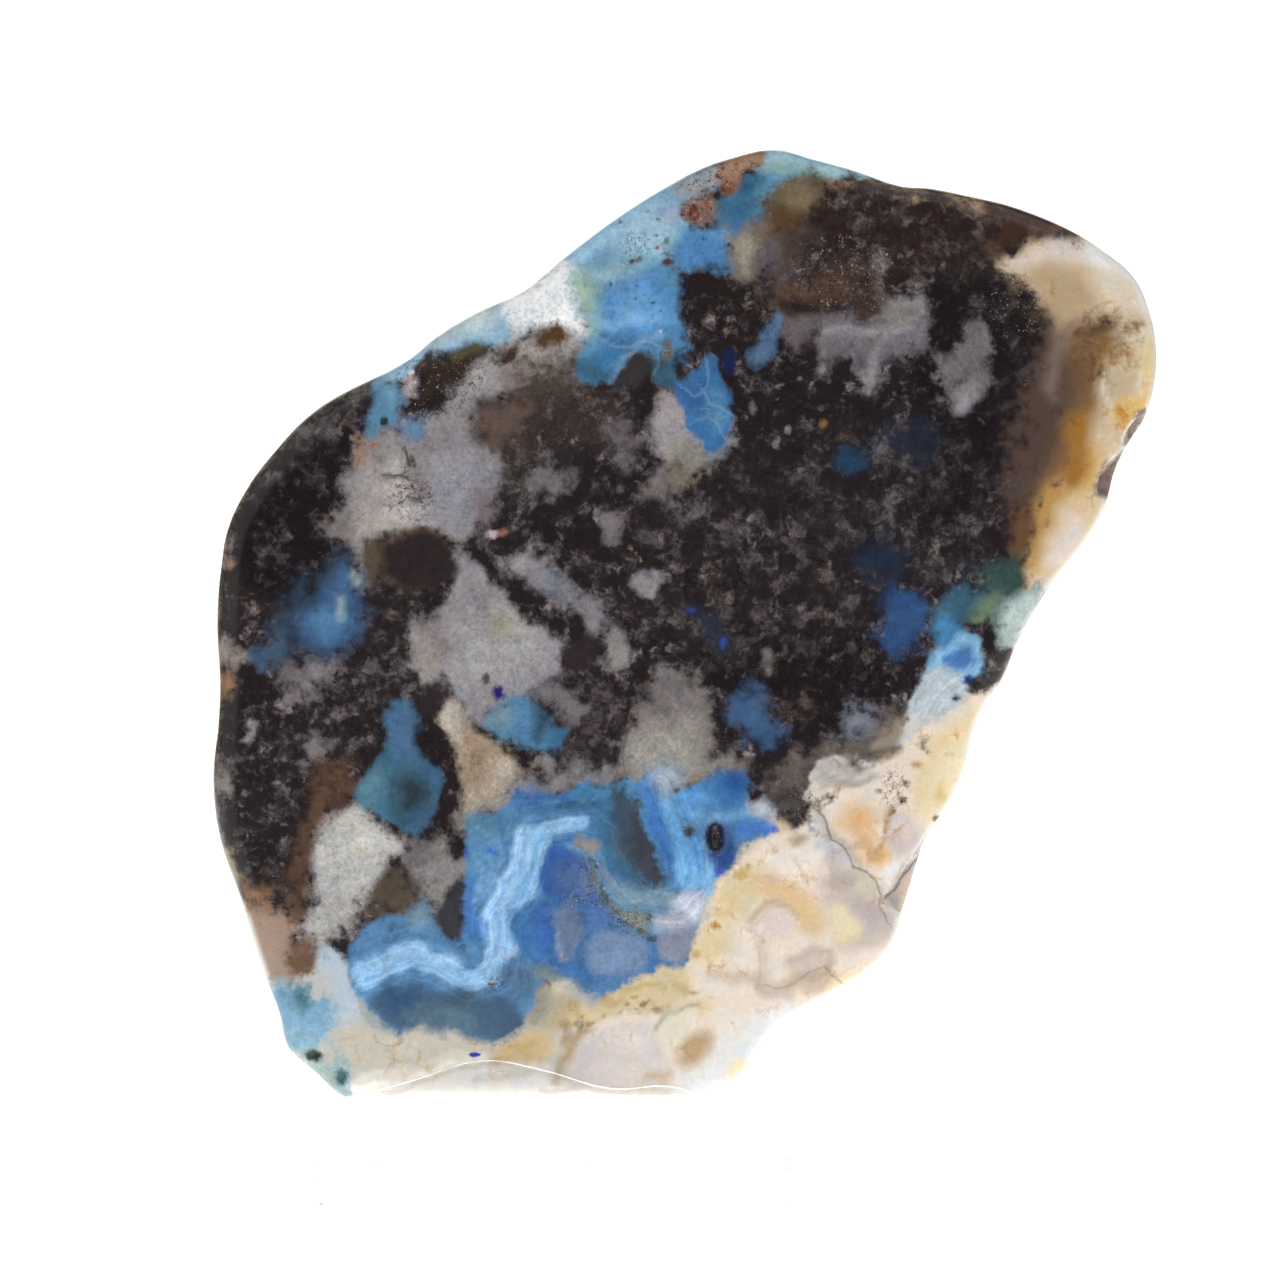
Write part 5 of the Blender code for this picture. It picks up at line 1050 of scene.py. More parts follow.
cream.patches(
    ((240, 216, 172), 0.7, 3, (14.4, 24.4), (15, 27), (16, 28.6), (17.6, 29.4), (19, 30), (18.4, 25),
     (16, 22.4)),
    ((226, 206, 164), 0.9, 3, (1.4, 17.4), (2.4, 19.4), (3.8, 20.4), (5.2, 19.8), (4.8, 18.2), (3.6, 17),
     (2.2, 16.4)),
    ((226, 208, 168), 0.7, 3, (0.7, 15.8), (1.6, 16.8), (3, 16), (3, 14.4), (1.4, 13.6), (0.5, 14)),
    ((230, 198, 154), 0.6, 3, (4.4, 19), (5.5, 19.5), (6.9, 19.4), (7.6, 18.6), (8.4, 17.4), (8.7, 16.2),
     (8, 15.4), (7.2, 15.8), (6.9, 16.8), (6, 17.6), (4.8, 18.1)),
    ((230, 200, 154), 0.4, 3, (6.6, 17.3), (7.4, 17.6), (8.3, 16.8), (8.2, 15.8), (7.5, 15.8), (7.1, 16.6)),
    ((226, 212, 206), 0.4, 3, (4.2, 16.7), (5, 17.4), (6, 17.5), (6.7, 17), (7.1, 16.1), (6.3, 15.3),
     (5, 15.3), (4.1, 15.8)),
    # Painted shadow: a tan sliver along the top left edge of the pinkish grey grain
    ((204, 184, 154), 0.3, 1.5, (4.1, 16.8), (5, 17.7), (6.1, 17.8), (6, 17.5), (5, 17.3), (4.3, 16.6)),
    ((209, 195, 186), 0.6, 3, (9.2, 19.8), (10, 19.7), (10.2, 18.9), (11, 18.4), (12, 18), (12.6, 17),
     (13.3, 16.4), (13, 15.4), (12, 14.9), (11, 14.7), (9.8, 15), (9, 15.8), (8.8, 17), (8.4, 18),
     (8.7, 19)),
    ((236, 222, 184), 0.5, 3, (8.7, 16.4), (9, 17.8), (10, 17.4), (11, 16.4), (10.6, 15.2), (9.2, 15.2)),
    ((204, 202, 209), 0.35, 3, (8.2, 21.4), (9.2, 21.8), (10, 21.3), (10.4, 20.7), (10.5, 20), (9.8, 19.9),
     (8.7, 20.4)),
    ((232, 200, 162), 0.6, 3, (9.4, 23), (10, 23.9), (11, 24.2), (11.9, 23.7), (12.6, 23), (12.8, 22.1),
     (12.9, 21.2), (12.8, 20.4), (12, 20.2), (11.1, 20.4), (10.7, 21), (10.7, 21.7), (10, 22), (9.4, 22.3)),
    ((240, 192, 126), 0.4, 3, (12.2, 21), (12.9, 21.8), (12.9, 20.6), (12.3, 20.4)),
    ((236, 180, 122), 0.7, 2, (10.2, 23), (11.2, 23.6), (11.6, 22.6), (10.6, 22.2)),
    ((246, 238, 226), 0.35, 3, (11.9, 22.5), (12.4, 22.6), (12.6, 21.9), (12, 21.7)),
    ((214, 199, 194), 0.3, 3, (13, 23.4), (13.8, 23.7), (14.6, 23.3), (15.1, 22.6), (15.2, 21.9),
     (14.8, 21.3), (14.2, 20.9), (13.3, 20.8), (12.9, 21.6), (12.8, 22.5)),
    ((228, 216, 212), 0.5, 3, (13.3, 23.2), (14.2, 23.3), (14.6, 22.4), (13.8, 22), (13.2, 22.4)),
    ((246, 229, 190), 0.7, 3, (15.2, 24.6), (15.6, 26.4), (17, 28), (20, 28), (18, 22), (15.5, 21.4),
     (15.4, 23)),
    ((222, 196, 124), 0.4, 1.5, (15.9, 24.4), (16.3, 25.2), (16.4, 24.2), (16, 23.4)),
    ((222, 221, 226), 0.25, 3, (7.9, 23.3), (8.6, 23.3), (9.3, 21.9), (8.8, 21.4), (8.2, 22), (7.9, 22.7)),
    # Painted shadow: a tan patch beside the pale strip
    ((176, 161, 138), 0.4, 1.5, (6.7, 22), (7.5, 22.4), (8, 22.1), (7.5, 21.4), (7, 21.3)),
    ((242, 240, 240), 0.2, 3, (12.5, 18.3), (13.2, 19.4), (14.2, 20.4), (13.3, 20.3), (12.6, 19.8),
     (12.1, 19.2)),
    ((190, 180, 178), 0.25, 3, (12.6, 18.1), (13.4, 19.2), (14.4, 20.5), (15.1, 21.3), (15.6, 21),
     (14.6, 19.6), (13.4, 17.8), (12.9, 17)),
    ((214, 188, 158), 0.4, 3, (13.2, 17.6), (14, 18.8), (15, 20.2), (15.6, 20.6), (15, 18), (13.6, 16.6)),
    ((232, 232, 230), 0.9, 3, (2.4, 9.4), (4.4, 10.6), (6, 11.4), (7.6, 10.6), (5, 7), (2, 4), (-2, 4),
     (0, 7)),
    ((214, 200, 188), 0.6, 3, (6.5, 14), (7.4, 14.4), (8.2, 14.8), (9.1, 14.7), (9.4, 13.9), (8.4, 13.4),
     (7, 13)),
    ((206, 184, 162), 0.5, 3, (8, 13.2), (9.1, 13.7), (10.6, 13), (9.6, 12), (8.2, 11.8), (7.4, 12.4)))
cream.strokes(
    ((198, 172, 144), 0.6, 2.5, 0.35, (1.9, 13.2), (3, 12.9), (4.3, 13), (4.6, 12.6)),
    ((184, 158, 128), 0.6, 2.5, 0.4, (4.5, 12.5), (5.4, 12.2), (6.5, 12.7), (7.6, 13.2), (8.4, 13.4),
     (9.1, 13.7), (9.7, 13), (10.6, 12.6)),
    ((186, 170, 158), 0.4, 2, 0.2, (6.5, 14), (7.4, 14.4), (8.2, 14.8), (9.1, 14.8), (9.4, 14)),
    ((188, 170, 162), 0.6, 2.5, 0.7, (9, 19.9), (9.6, 19), (10.6, 19.3)),
    # Painted shadow: a soft tan band along the crack
    ((178, 164, 150), 0.5, 2, 0.3, (8.4, 23.4), (9.1, 21.9), (10.4, 20.8), (11.3, 19.7), (12.4, 18.2),
     (13, 18)))
cream.patches(
    ((210, 204, 184), 0.4, 2.5, (10.6, 19.6), (11.9, 19.5), (12.5, 18.5), (11.9, 18), (11, 18.6)),
    ((196, 180, 174), 0.6, 2, (10.6, 18.6), (11.9, 17.6), (13, 16.6), (12.6, 15.8), (11.4, 16.4),
     (10.6, 17.4)))
cream.strokes(
    # Painted shadow along the top edge of the pinkish grey grain
    ((196, 166, 132), 0.3, 2, 0.15, (4.2, 16.9), (4.9, 17.7), (5.8, 17.85), (6.6, 17.4), (7, 16.8)),
    ((206, 178, 150), 0.3, 1.5, 0.12, (4.3, 19.4), (5.4, 19.3), (6.6, 19.3), (7.2, 19)),
    ((206, 190, 176), 0.5, 2, 0.25, (4.6, 15.4), (4.8, 14.4), (4.6, 13.4), (5, 12.8)),
    ((244, 236, 226), 0.5, 2, 0.4, (5.4, 20.6), (7, 20), (8.4, 20.2), (9, 19.4)),
    ((242, 234, 228), 0.5, 2, 0.3, (6.6, 21.2), (7.8, 20.8), (8.6, 20.6)),
    ((186, 150, 104), 0.4, 1.5, 0.2, (12.4, 21), (12, 20.7), (12.6, 22.2), (13, 23.4)),
    ((196, 156, 110), 0.4, 1.5, 0.15, (10.6, 21.4), (11.2, 21.7), (11.8, 21.1), (12.4, 21.5)))
cream.patches(
    ((242, 218, 182), 0.5, 3, (9.7, 13.5), (11.6, 13.8), (13, 14), (11, 12), (9, 11.6), (9.6, 12.6)),
    ((208, 196, 184), 0.5, 1.2, (4.7, 12.7), (5.8, 12.7), (6.8, 12.3), (6.6, 11.9), (5.4, 12.1)),
    ((210, 194, 170), 0.6, 1.2, (0.4, 9.2), (1.4, 9.8), (2, 9.2), (1.6, 8.2), (0.6, 8.2)),
    ((220, 202, 160), 0.6, 1.2, (0.6, 11.4), (1.4, 11.9), (1.9, 11.2), (1.2, 10.6)),
    ((240, 224, 178), 0.6, 1.2, (2.6, 7.2), (3.6, 7.8), (4.4, 7), (3.4, 6)))
quartz.patches(
    ((104, 94, 88), 1.0, 0.4, (5, 25.2), (6.4, 26.8), (8.2, 27.2), (9.6, 28), (11.4, 28.8), (12.8, 30),
     (14, 29.4), (13.8, 27), (11.6, 25.9), (8.6, 25.2), (8, 24.2), (6.4, 23.6)),
    ((122, 128, 144), 0.9, 0.3, (10.2, 29.6), (11.6, 29.8), (12, 28.6), (10.4, 28.2)))
for x, z, size in (
        (8.35, 23.9, 0.34), (9.2, 24.25, 0.4), (9.5, 24.75, 0.2), (12.95, 25.9, 0.16), (13, 25.5, 0.2),
        (13.15, 25, 0.22), (13.7, 24.2, 0.16), (15.1, 28.1, 0.3), (14.95, 27.6, 0.22), (15.3, 27.3, 0.18),
        (12.2, 24.8, 0.2), (13.8, 25.3, 0.14), (13.4, 24.5, 0.12)):
    stain.spot((78, 58, 44), x, z, size * 1.8, size * 1.4, 0.25, 0.6)
stain.patches(
    ((62, 52, 50), 0.6, 0.6, (5.6, 24.4), (6.4, 25), (7.4, 24.6), (8, 23.6), (7.4, 22.8), (6.4, 23),
     (5.8, 23.6)))
stain.strokes(
    ((150, 112, 72), 0.25, 0.8, 0.1, (13.3, 23.6), (12.8, 23.1), (12.6, 22.2)),
    ((150, 146, 144), 0.25, 0.5, 0.06, (7.9, 22.9), (8.3, 22.3), (9.1, 21.7)))
grain.spots(
    ((140, 98, 58), 15.8, 23, 0.5, 0.4, 0.2, 1), ((196, 158, 112), 14.5, 26.4, 0.7, 0.55, 0.3, 0.5),
    ((184, 138, 66), 1.95, 16.25, 0.6, 0.5, 0.3, 0.7), ((196, 168, 106), 3.5, 19.5, 0.9, 0.6, 0.4, 0.3),
    ((190, 164, 110), 4, 20, 0.5, 0.4, 0.3, 0.3), ((196, 170, 116), 5.7, 21, 0.5, 0.4, 0.3, 0.3),
    ((204, 170, 104), 0.75, 14.5, 0.8, 0.4, 0.3, 0.4))
cracks_and_step_shadow.lines(
    (0.6, (8.3, 23.6), (8.8, 23), (9.2, 21.7)),
    (0.55, (9.2, 21.7), (10, 21.3), (10.4, 20.6), (10.6, 20), (11.5, 19.6), (12, 19.1), (12.2, 18.5),
     (12.4, 18.1)),
    (0.4, (12.4, 18.1), (12.2, 17.5), (12.5, 17), (12.8, 16.5)),
    # Painted shadow: a dark line along the foot of the chip's step wall, laid with the cracks
    (0.7, (12.5, 18), (13.2, 18.8), (13.9, 19.8), (14.6, 20.6), (15.1, 21.1)),
    (0.25, (5.1, 12.6), (5.9, 12.3), (6.8, 12.6), (7.6, 13.2), (8.6, 13.7)),
    (0.35, (8.8, 13.7), (9.4, 13.1), (9.9, 12.7)),
    (0.15, (4.6, 14.9), (4.8, 13.8), (4.8, 12.8)))

# Bottom left: pinkish tan, pale blue and green along the edge, then grey-beige and ochre to the vein
cream.patches(
    ((192, 194, 190), 0.5, 3, (-30, 13.2), (-25.6, 13.2), (-24, 13.6), (-22.8, 14.6), (-21.4, 14.2),
     (-20.4, 11.4), (-18.4, 9.4), (-16, 9.2), (-14, 4), (-30, 4)),
    ((166, 142, 126), 0.9, 2.5, (-30.4, 18.4), (-27.4, 17.8), (-26, 17), (-25, 17.6), (-24.4, 16.6),
     (-24.4, 15.2), (-23.6, 14.4), (-24, 13), (-26, 12.6), (-29.4, 13)),
    ((184, 200, 212), 0.6, 2, (-22.9, 14.8), (-21.6, 14.7), (-20.8, 13.8), (-20.9, 12.4), (-20.3, 11),
     (-20, 9.4), (-21.2, 9.2), (-21.8, 10.8), (-22.3, 12.6), (-23.2, 13.6)),
    ((150, 164, 172), 0.4, 2, (-20, 10.8), (-19.2, 11.6), (-18.4, 11), (-18.6, 10), (-19.6, 9.8)),
    ((172, 180, 180), 0.4, 2, (-19.8, 9.8), (-18.6, 10.2), (-18.2, 9.2), (-19, 8.6), (-19.8, 9)),
    ((200, 193, 178), 0.5, 3, (-22, 9.5), (-20.4, 10.2), (-19.2, 9.7), (-17, 10), (-15.4, 9.4), (-13.6, 9),
     (-12, 9.2), (-10.8, 9.6), (-9.6, 10.6), (-8.6, 12), (-6.4, 11.6), (-6, 8), (-7, 2), (-22, 2), (-22, 7)),
    ((255, 250, 240), 0.5, 4, (-22, 6.4), (-18, 7), (-14, 8), (-12, 8.2), (-8, 7.4), (-5, 6.6), (-4, 2),
     (-22, 2)))
for route in (
        [(-20, 6.3), (-17, 7.2), (-14, 7.9)], [(-19, 5.9), (-15, 6.9), (-11, 7.8)],
        [(-13, 6.4), (-9, 7.2), (-5, 6.6)], [(-9, 6), (-5, 6.2), (-1, 5.7)]):
    cream.stroke((206, 192, 170), 0.4, 2, 0.08, route)
cream.patches(
    ((215, 197, 158), 0.5, 3, (-6.2, 12.2), (-4.6, 12.9), (-2.6, 13.4), (-0.6, 13.6), (0.6, 13.4),
     (0.4, 11.8), (-1, 11.2), (-2.6, 10.8), (-4.2, 10.9), (-5.6, 10.4), (-7.4, 10.4), (-7.6, 11.4)),
    ((206, 182, 138), 0.5, 3, (-12.2, 8.2), (-10.8, 9.4), (-9.2, 9.9), (-8.2, 9.4), (-8.4, 8), (-10, 7.4),
     (-12, 7.4)),
    ((186, 172, 140), 0.5, 3, (-9.2, 10.2), (-8.2, 11.6), (-7.4, 12.2), (-6.6, 11.4), (-7.4, 10),
     (-8.4, 9.6)),
    ((152, 148, 134), 0.6, 2, (-10.2, 12.4), (-9, 12.8), (-8.1, 12), (-8.6, 10.6), (-9.8, 10)),
    ((196, 196, 184), 0.5, 2.5, (-8.8, 13.2), (-7.6, 13.2), (-6.3, 12.5), (-7, 12), (-8.2, 12.4)),
    ((160, 168, 172), 0.5, 1.5, (-7.2, 12.6), (-5.8, 12.8), (-4.8, 12.2), (-5.8, 11.6), (-7, 11.8)),
    ((215, 205, 199), 0.35, 3, (-5.9, 10), (-4.9, 10.2), (-3.5, 10.5), (-1.9, 10.5), (-1.7, 9.4),
     (-1.1, 8.1), (-0.9, 7.2), (-1.9, 6.3), (-3.5, 6), (-5.9, 6), (-7.4, 6.3), (-7.5, 7.3), (-6.9, 8.4)),
    ((224, 218, 214), 0.6, 3, (-4, 9.9), (-2.2, 9.8), (-2, 8.6), (-3.4, 8.4)),
    ((205, 195, 193), 0.5, 2, (-6.6, 8.4), (-5.4, 9.2), (-4.6, 8), (-5.6, 7), (-6.8, 7)),
    ((226, 219, 200), 0.3, 3, (-1.7, 10.6), (-1, 11.3), (-0.2, 11.4), (0.3, 10.4), (0.2, 9.4), (-0.3, 8.5),
     (-1, 8.3), (-1.5, 9.2)),
    ((222, 211, 206), 0.25, 3, (-1.8, 7.6), (-1.4, 8), (-0.9, 7.8), (-0.8, 7.1), (-1.3, 6.9)),
    ((188, 160, 122), 0.6, 2.5, (-0.3, 8.6), (0.5, 9.6), (1.6, 9.7), (2, 8.8), (1, 7.6), (-0.4, 7.2)))
cream.strokes(
    ((172, 144, 104), 0.4, 2.5, 0.5, (-5.9, 10), (-6.7, 9.1), (-7.2, 8), (-7.9, 6.8)),
    ((152, 122, 84), 0.4, 2, 0.3, (-7.4, 10.4), (-7, 9.6), (-7.5, 8.9)),
    ((190, 164, 132), 0.5, 1.5, 0.3, (-2.4, 6.7), (-1.6, 6.5), (-0.9, 6.8)),
    ((150, 130, 90), 0.25, 2, 0.15, (-1.8, 10), (-1.6, 10.5), (-1, 11.1), (0, 11.3), (0.8, 11.4)))
for route in (
        [(-4.3, 12.3), (-3.6, 12.1), (-3, 12.4)], [(-2.8, 12.5), (-2, 12.6), (-1.2, 12.3)],
        [(-11.4, 8.9), (-10.4, 8.6), (-9.4, 9)], [(-7.2, 11.4), (-6.6, 11.1), (-6.2, 10.6)],
        [(-5.2, 12), (-4.6, 11.5), (-4, 11.6)], [(-0.6, 12.5), (0.2, 12.1), (0.8, 12.2)]):
    cream.stroke((184, 152, 88), 0.3, 1.5, 0.12, route)
stain.patches(
    ((112, 86, 66), 0.6, 0.5, (-25, 14.4), (-23.8, 15.4), (-22.8, 15.2), (-23.2, 13.6), (-24.4, 12.8)),
    ((140, 106, 78), 0.8, 0.4, (-27.4, 18.8), (-26, 18.6), (-25.8, 17.4), (-27.2, 17)))
azurite.patches(
    ((132, 178, 206), 0.8, 2.5, (-27.6, 12.6), (-25.4, 12.7), (-24, 12.2), (-22.4, 11.6), (-21.6, 10.4),
     (-22, 9.4), (-23.4, 9), (-25, 8.8), (-27, 10)),
    ((58, 105, 118), 0.6, 2, (-25, 12.8), (-24, 12.6), (-23.4, 11.4), (-24, 10.8), (-24.6, 11.2)),
    ((112, 158, 186), 0.7, 2, (-27.6, 12.6), (-25.4, 12.9), (-24.4, 12.4), (-24.6, 11), (-25.6, 10.4),
     (-27, 10.6)),
    ((144, 184, 204), 0.7, 2, (-26, 10), (-24, 10), (-22.4, 9.6), (-22.4, 8.4), (-24, 8), (-26, 8)),
    ((164, 186, 178), 0.8, 1.5, (-26, 8.2), (-23.6, 8.2), (-22.2, 8), (-21, 7.4), (-20.6, 5.6), (-22, 4),
     (-25.6, 6)),
    ((146, 182, 196), 0.6, 1.5, (-22, 7.4), (-21.2, 7.6), (-20.6, 6.8), (-20.9, 5.9), (-21.8, 6)))
for x, z in (
        (-3.1, 11.8), (-2.6, 11.3), (-2.2, 11.6), (-1.8, 11.1), (-3.6, 11.4), (-6.4, 10.6), (0.6, 12.1),
        (-9.8, 8.3)):
    grain.spot((150, 112, 80), x, z, 0.4, 0.25, 0.25, 0.2)
grain.spots(
    ((40, 56, 50), -23.2, 8.1, 1.1, 0.8, 0.3), ((46, 90, 90), -21.5, 6.8, 0.8, 1.0, 0.4))
glints((7.2, 24, 0.8, 0.8), (13.2, 25, 0.6, 1.2), (20.5, 55, 1.6, 2), (10, 57, 3, 2.4))

for layer in (matrix, haze, quartz, cream, azurite, stain, grain, sparkle, cracks_and_step_shadow, thread, band):
    layer.write(slab)


class Socket:
    """A node socket that Python sums can use: each operator adds its Math node."""

    def __init__(self, finish, socket):
        self.finish, self.socket = finish, socket

    def math(self, operation, *others):
        inputs = dict(enumerate((self, *others)))
        return self.finish.node("Math", settings={"operation": operation}, inputs=inputs)

    def __add__(self, other):
        return self.math("ADD", other)

    def __mul__(self, other):
        return self.math("MULTIPLY", other)

    def __sub__(self, other):
        return self.math("SUBTRACT", other)

    def __rsub__(self, other):
        return self.finish.node("Math", settings={"operation": "SUBTRACT"}, inputs={0: other, 1: self})

    __radd__ = __add__
    __rmul__ = __mul__


class Finish:
    """A material whose nodes are all made by one method."""

    def __init__(self, name):
        self.material = bpy.data.materials.new(name)
        self.material.use_nodes = True
        self.tree = self.material.node_tree
        self.shader = self.tree.nodes["Principled BSDF"]

    def feed(self, socket, value):
        """Give a socket a value, or a link where the value is itself a socket."""
        if isinstance(value, Socket):
            self.tree.links.new(value.socket, socket)
        else:
            socket.default_value = value

    def node(self, kind, output=0, settings=None, inputs=None):
        """A node of one kind, with its settings made first and its sockets fed after."""
        made = self.tree.nodes.new("ShaderNode" + kind)
        for name, value in (settings or {}).items():
            setattr(made, name, value)
        for socket, value in (inputs or {}).items():
            self.feed(made.inputs[socket], value)
        return Socket(self, made.outputs[output])

    def millimetres(self):
        """Object coordinates in millimetres."""
        return self.shade(self.node("TexCoord", "Object"), 1 / MM)

    def clouds(self, where, per_mm, detail=3.0, roughness=0.6):
        """Noise of about -1 to 1 with per_mm waves to the millimetre."""
        inputs = {"Vector": where, "Scale": per_mm, "Detail": detail, "Roughness": roughness}
        return (self.node("TexNoise", inputs=inputs) - 0.5) * 4

    def step(self, value, low, high):
        """0 below low and 1 above high, with a smooth rise between them."""
        return self.node("MapRange", settings={"interpolation_type": "SMOOTHSTEP"},
                         inputs={"Value": value, "From Min": low, "From Max": high})

    def over(self, lower, upper, amount, blend="MIX"):
        """One colour laid over another by an amount from 0 to 1."""
        return self.node("Mix", 2, settings={"data_type": "RGBA", "blend_type": blend},
                         inputs={0: amount, 6: lower, 7: upper})

    def attribute(self, name, output):
        """A value that the mesh keeps at each of its points."""
        return self.node("Attribute", output, settings={"attribute_name": name})

    def shade(self, colour, amount):
        """A colour made brighter or darker by a number near 1."""
        return self.node("VectorMath", settings={"operation": "SCALE"}, inputs={0: colour, "Scale": amount})


def light(*colour):
    """A colour from 0 to 255 as a shader takes it."""
    return (*linear(colour), 1.0)


GREY_CRYSTAL = light(156, 144, 145)
# Painted light: the colour of the thin rim as if lit through it
LIT_EDGE = light(160, 150, 122)
# Painted light: near white for the cream rim, as if light shone through its thin edge
PAINTED_RIM_GLOW = light(255, 252, 244)
CREASE = light(214, 190, 160)
# Painted shade: the dark inside of tiny pits
PAINTED_PIT_SHADE = light(48, 38, 36)
# Painted highlight: glints of light off the polish
GLINT = light(226, 222, 220)
LINES = ((cracks_and_step_shadow, light(88, 76, 70), 0.13), (thread, light(165, 200, 225), 0.16))
MOTTLING = {"haze": 0.4, "quartz": 0.19, "cream": 0.09, "azurite": 0.27, "stain": 0.25, "grain": 0.15}

polish = Finish("polished_stone")
where = polish.millimetres()
drift = polish.clouds(where, 0.4, 2.0)
ragged = polish.clouds(where, 1.1, 3.0)
blotches = polish.clouds(where, 1.3, 4.0, 0.65)
specks = polish.clouds(where, 3.5, 3.0, 0.7)
dust = polish.clouds(where, 9.0, 3.0, 0.7)

# Places bent by noise, so that what is laid out by cells looks grown
warp = polish.node("TexNoise", "Color", inputs={"Vector": where, "Scale": 1.3, "Detail": 3.0})
bent = polish.node("VectorMath", settings={"operation": "MULTIPLY_ADD"},
                   inputs={0: warp, 1: (1.0, 1.0, 1.0), 2: where})
across, upwards = (polish.node("SeparateXYZ", axis, inputs={0: bent}) for axis in "XZ")
flat = polish.node("CombineXYZ", inputs={0: across, 1: upwards})


def crystals(per_mm, share):
    """Rounded grains with soft borders: share says how much of the rock they fill."""
    cells = {"Vector": bent, "Scale": per_mm}
    chance = polish.node("SeparateXYZ", "X", inputs={0: polish.node("TexVoronoi", "Color", inputs=cells)})
    apart = polish.node("TexVoronoi", "Distance", inputs=cells)
    return polish.step(chance, 1.05 - share, 1.35 - share) * (1 - polish.step(apart, 0.3, 0.75))


def rims(per_mm):
    """Thin bright outlines between grains."""
    edge = polish.node("TexVoronoi", "Distance", inputs={"Vector": flat, "Scale": per_mm},
                       settings={"feature": "DISTANCE_TO_EDGE", "voronoi_dimensions": "2D"})
    return 1 - polish.step(edge + 0.04 * dust, 0.0, 0.12)


# The dark rock, with clumps of small translucent grey crystals everywhere in it
coarse = crystals(0.9, 0.4)
fine = crystals(2.2, 0.4)
outlines = rims(1.7)
clumps = polish.clouds(bent, 0.85, 6.0, 0.72)
grey = polish.step(clumps + 0.3 * drift + 0.5 * coarse + 0.35 * fine, 0.0, 1.6)
grey = grey * (0.6 + 0.4 * fine + 0.4 * outlines + 0.4 * specks + 0.5 * dust)
matrix_colour = polish.attribute("matrix_colour", "Vector")
lively = polish.node("VectorMath", "Value", settings={"operation": "LENGTH"}, inputs={0: matrix_colour})
grey = grey * (0.35 + 0.65 * polish.step(lively, 0.015, 0.026))
colour = polish.shade(matrix_colour, 0.85 + 0.25 * specks + 0.2 * ragged + 0.3 * dust)
colour = polish.over(colour, GREY_CRYSTAL, grey)
# Painted light: the thin rim near the front is lightened, unevenly, as if light shone through it
glow = 0.15 + 0.6 * polish.step(blotches + 0.6 * specks, -0.2, 0.9)
colour = polish.over(colour, LIT_EDGE, polish.attribute("painted_rim_light", "Fac") * glow)

# The minerals, each laid over the one before: its border is broken up by the shared noise, and
# the haze only shows through the crystals
along = polish.attribute("band_side", "Fac") + 0.1 * ragged + 0.04 * specks
bands = polish.clouds(polish.node("CombineXYZ", inputs={0: along}), 1.8, 4.0, 0.8)
bands = bands * polish.attribute("band_strength", "Fac") * (1 - polish.step(along.math("ABSOLUTE"), 0.8, 2.4))
creases = (0.55 * rims(0.5) + 0.35 * rims(1.3)) * polish.step(drift + blotches, -0.2, 1.2)
for layer in (haze, quartz, cream, azurite, stain, grain):
    into = polish.attribute(layer.name + "_into", "Fac") + layer.ragged * ragged + layer.speckled * specks
    if layer in (haze, quartz):
        into = into - 0.25 * clumps
    amount = 1 - polish.step(into, -0.5, 0.5)
    if layer is haze:
        crystalline = 0.3 + 0.6 * clumps + 0.3 * coarse + 0.3 * fine + 0.15 * specks
        amount = amount * polish.step(crystalline, 0.0, 1.0)
    mottle = 1 + MOTTLING[layer.name] * (0.5 * drift + 0.9 * blotches + 0.6 * specks + 0.5 * dust)
    if layer is quartz:
        cloudy = coarse + fine + clumps + outlines + 0.7 * specks + 0.9 * dust - 0.5
        mottle = mottle + 0.13 * cloudy - 0.15 * polish.step(specks - blotches, 0.6, 1.6)
    if layer is azurite:
        mottle = mottle + 0.55 * bands
    own = polish.shade(polish.attribute(layer.name + "_colour", "Vector"), mottle)
    if layer is cream:
        own = polish.over(own, CREASE, creases, "MULTIPLY")
    colour = polish.over(colour, own, amount)
    # Painted light: the cream near the rim is lightened as if light shone through its thin edge
    if layer is cream:
        colour = polish.over(colour, PAINTED_RIM_GLOW, 0.7 * amount * polish.attribute("painted_rim_light", "Fac"))

# Painted glints, small highlights off the polish, and painted shade in tiny pits, and the fine lines
zone = 1 - polish.step(polish.attribute("sparkle_into", "Fac") + 0.3 * ragged, -0.5, 0.5)
# Painted shade: dark specks for tiny pits
colour = polish.over(colour, PAINTED_PIT_SHADE, 0.8 * zone * polish.step(-1 * (dust + 0.7 * specks), 0.2, 0.6))
# Painted highlight: small white glints
colour = polish.over(colour, GLINT, zone * polish.step(dust + 0.4 * specks, 0.6, 0.9))
for lines, shade, width in LINES:
    side = polish.attribute(lines.name + "_side", "Fac") + 0.05 * specks + 0.08 * ragged
    thin = 1 - polish.step(side.math("ABSOLUTE"), 0.0, width)
    colour = polish.over(colour, shade, thin * polish.attribute(lines.name + "_strength", "Fac"))

# Iron warms the rock here and there, and pure quartz cools it
warm = polish.clouds(where, 0.8, 2.0)
tinge = polish.node("CombineXYZ", inputs={0: 1 + 0.05 * warm, 1: 1.0, 2: 1 - 0.07 * warm})
colour = polish.node("VectorMath", settings={"operation": "MULTIPLY"}, inputs={0: colour, 1: tinge})

polish.feed(polish.shader.inputs["Specular IOR Level"], 0.35)
polish.feed(polish.shader.inputs["Base Color"], colour)
polish.feed(polish.shader.inputs["Roughness"], 0.2 + 0.04 * specks)

slab.materials.clear()
slab.materials.append(polish.material)
slab.shade_smooth()
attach(slice_piece, "root")
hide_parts("stone_slice")


# The clear stand: one acrylic moulding, a base plate with a slotted bar that holds the slice. Its
# edges are polished by flame, and its front lip is rubbed in fine streaks and thins to a wavy top edge.

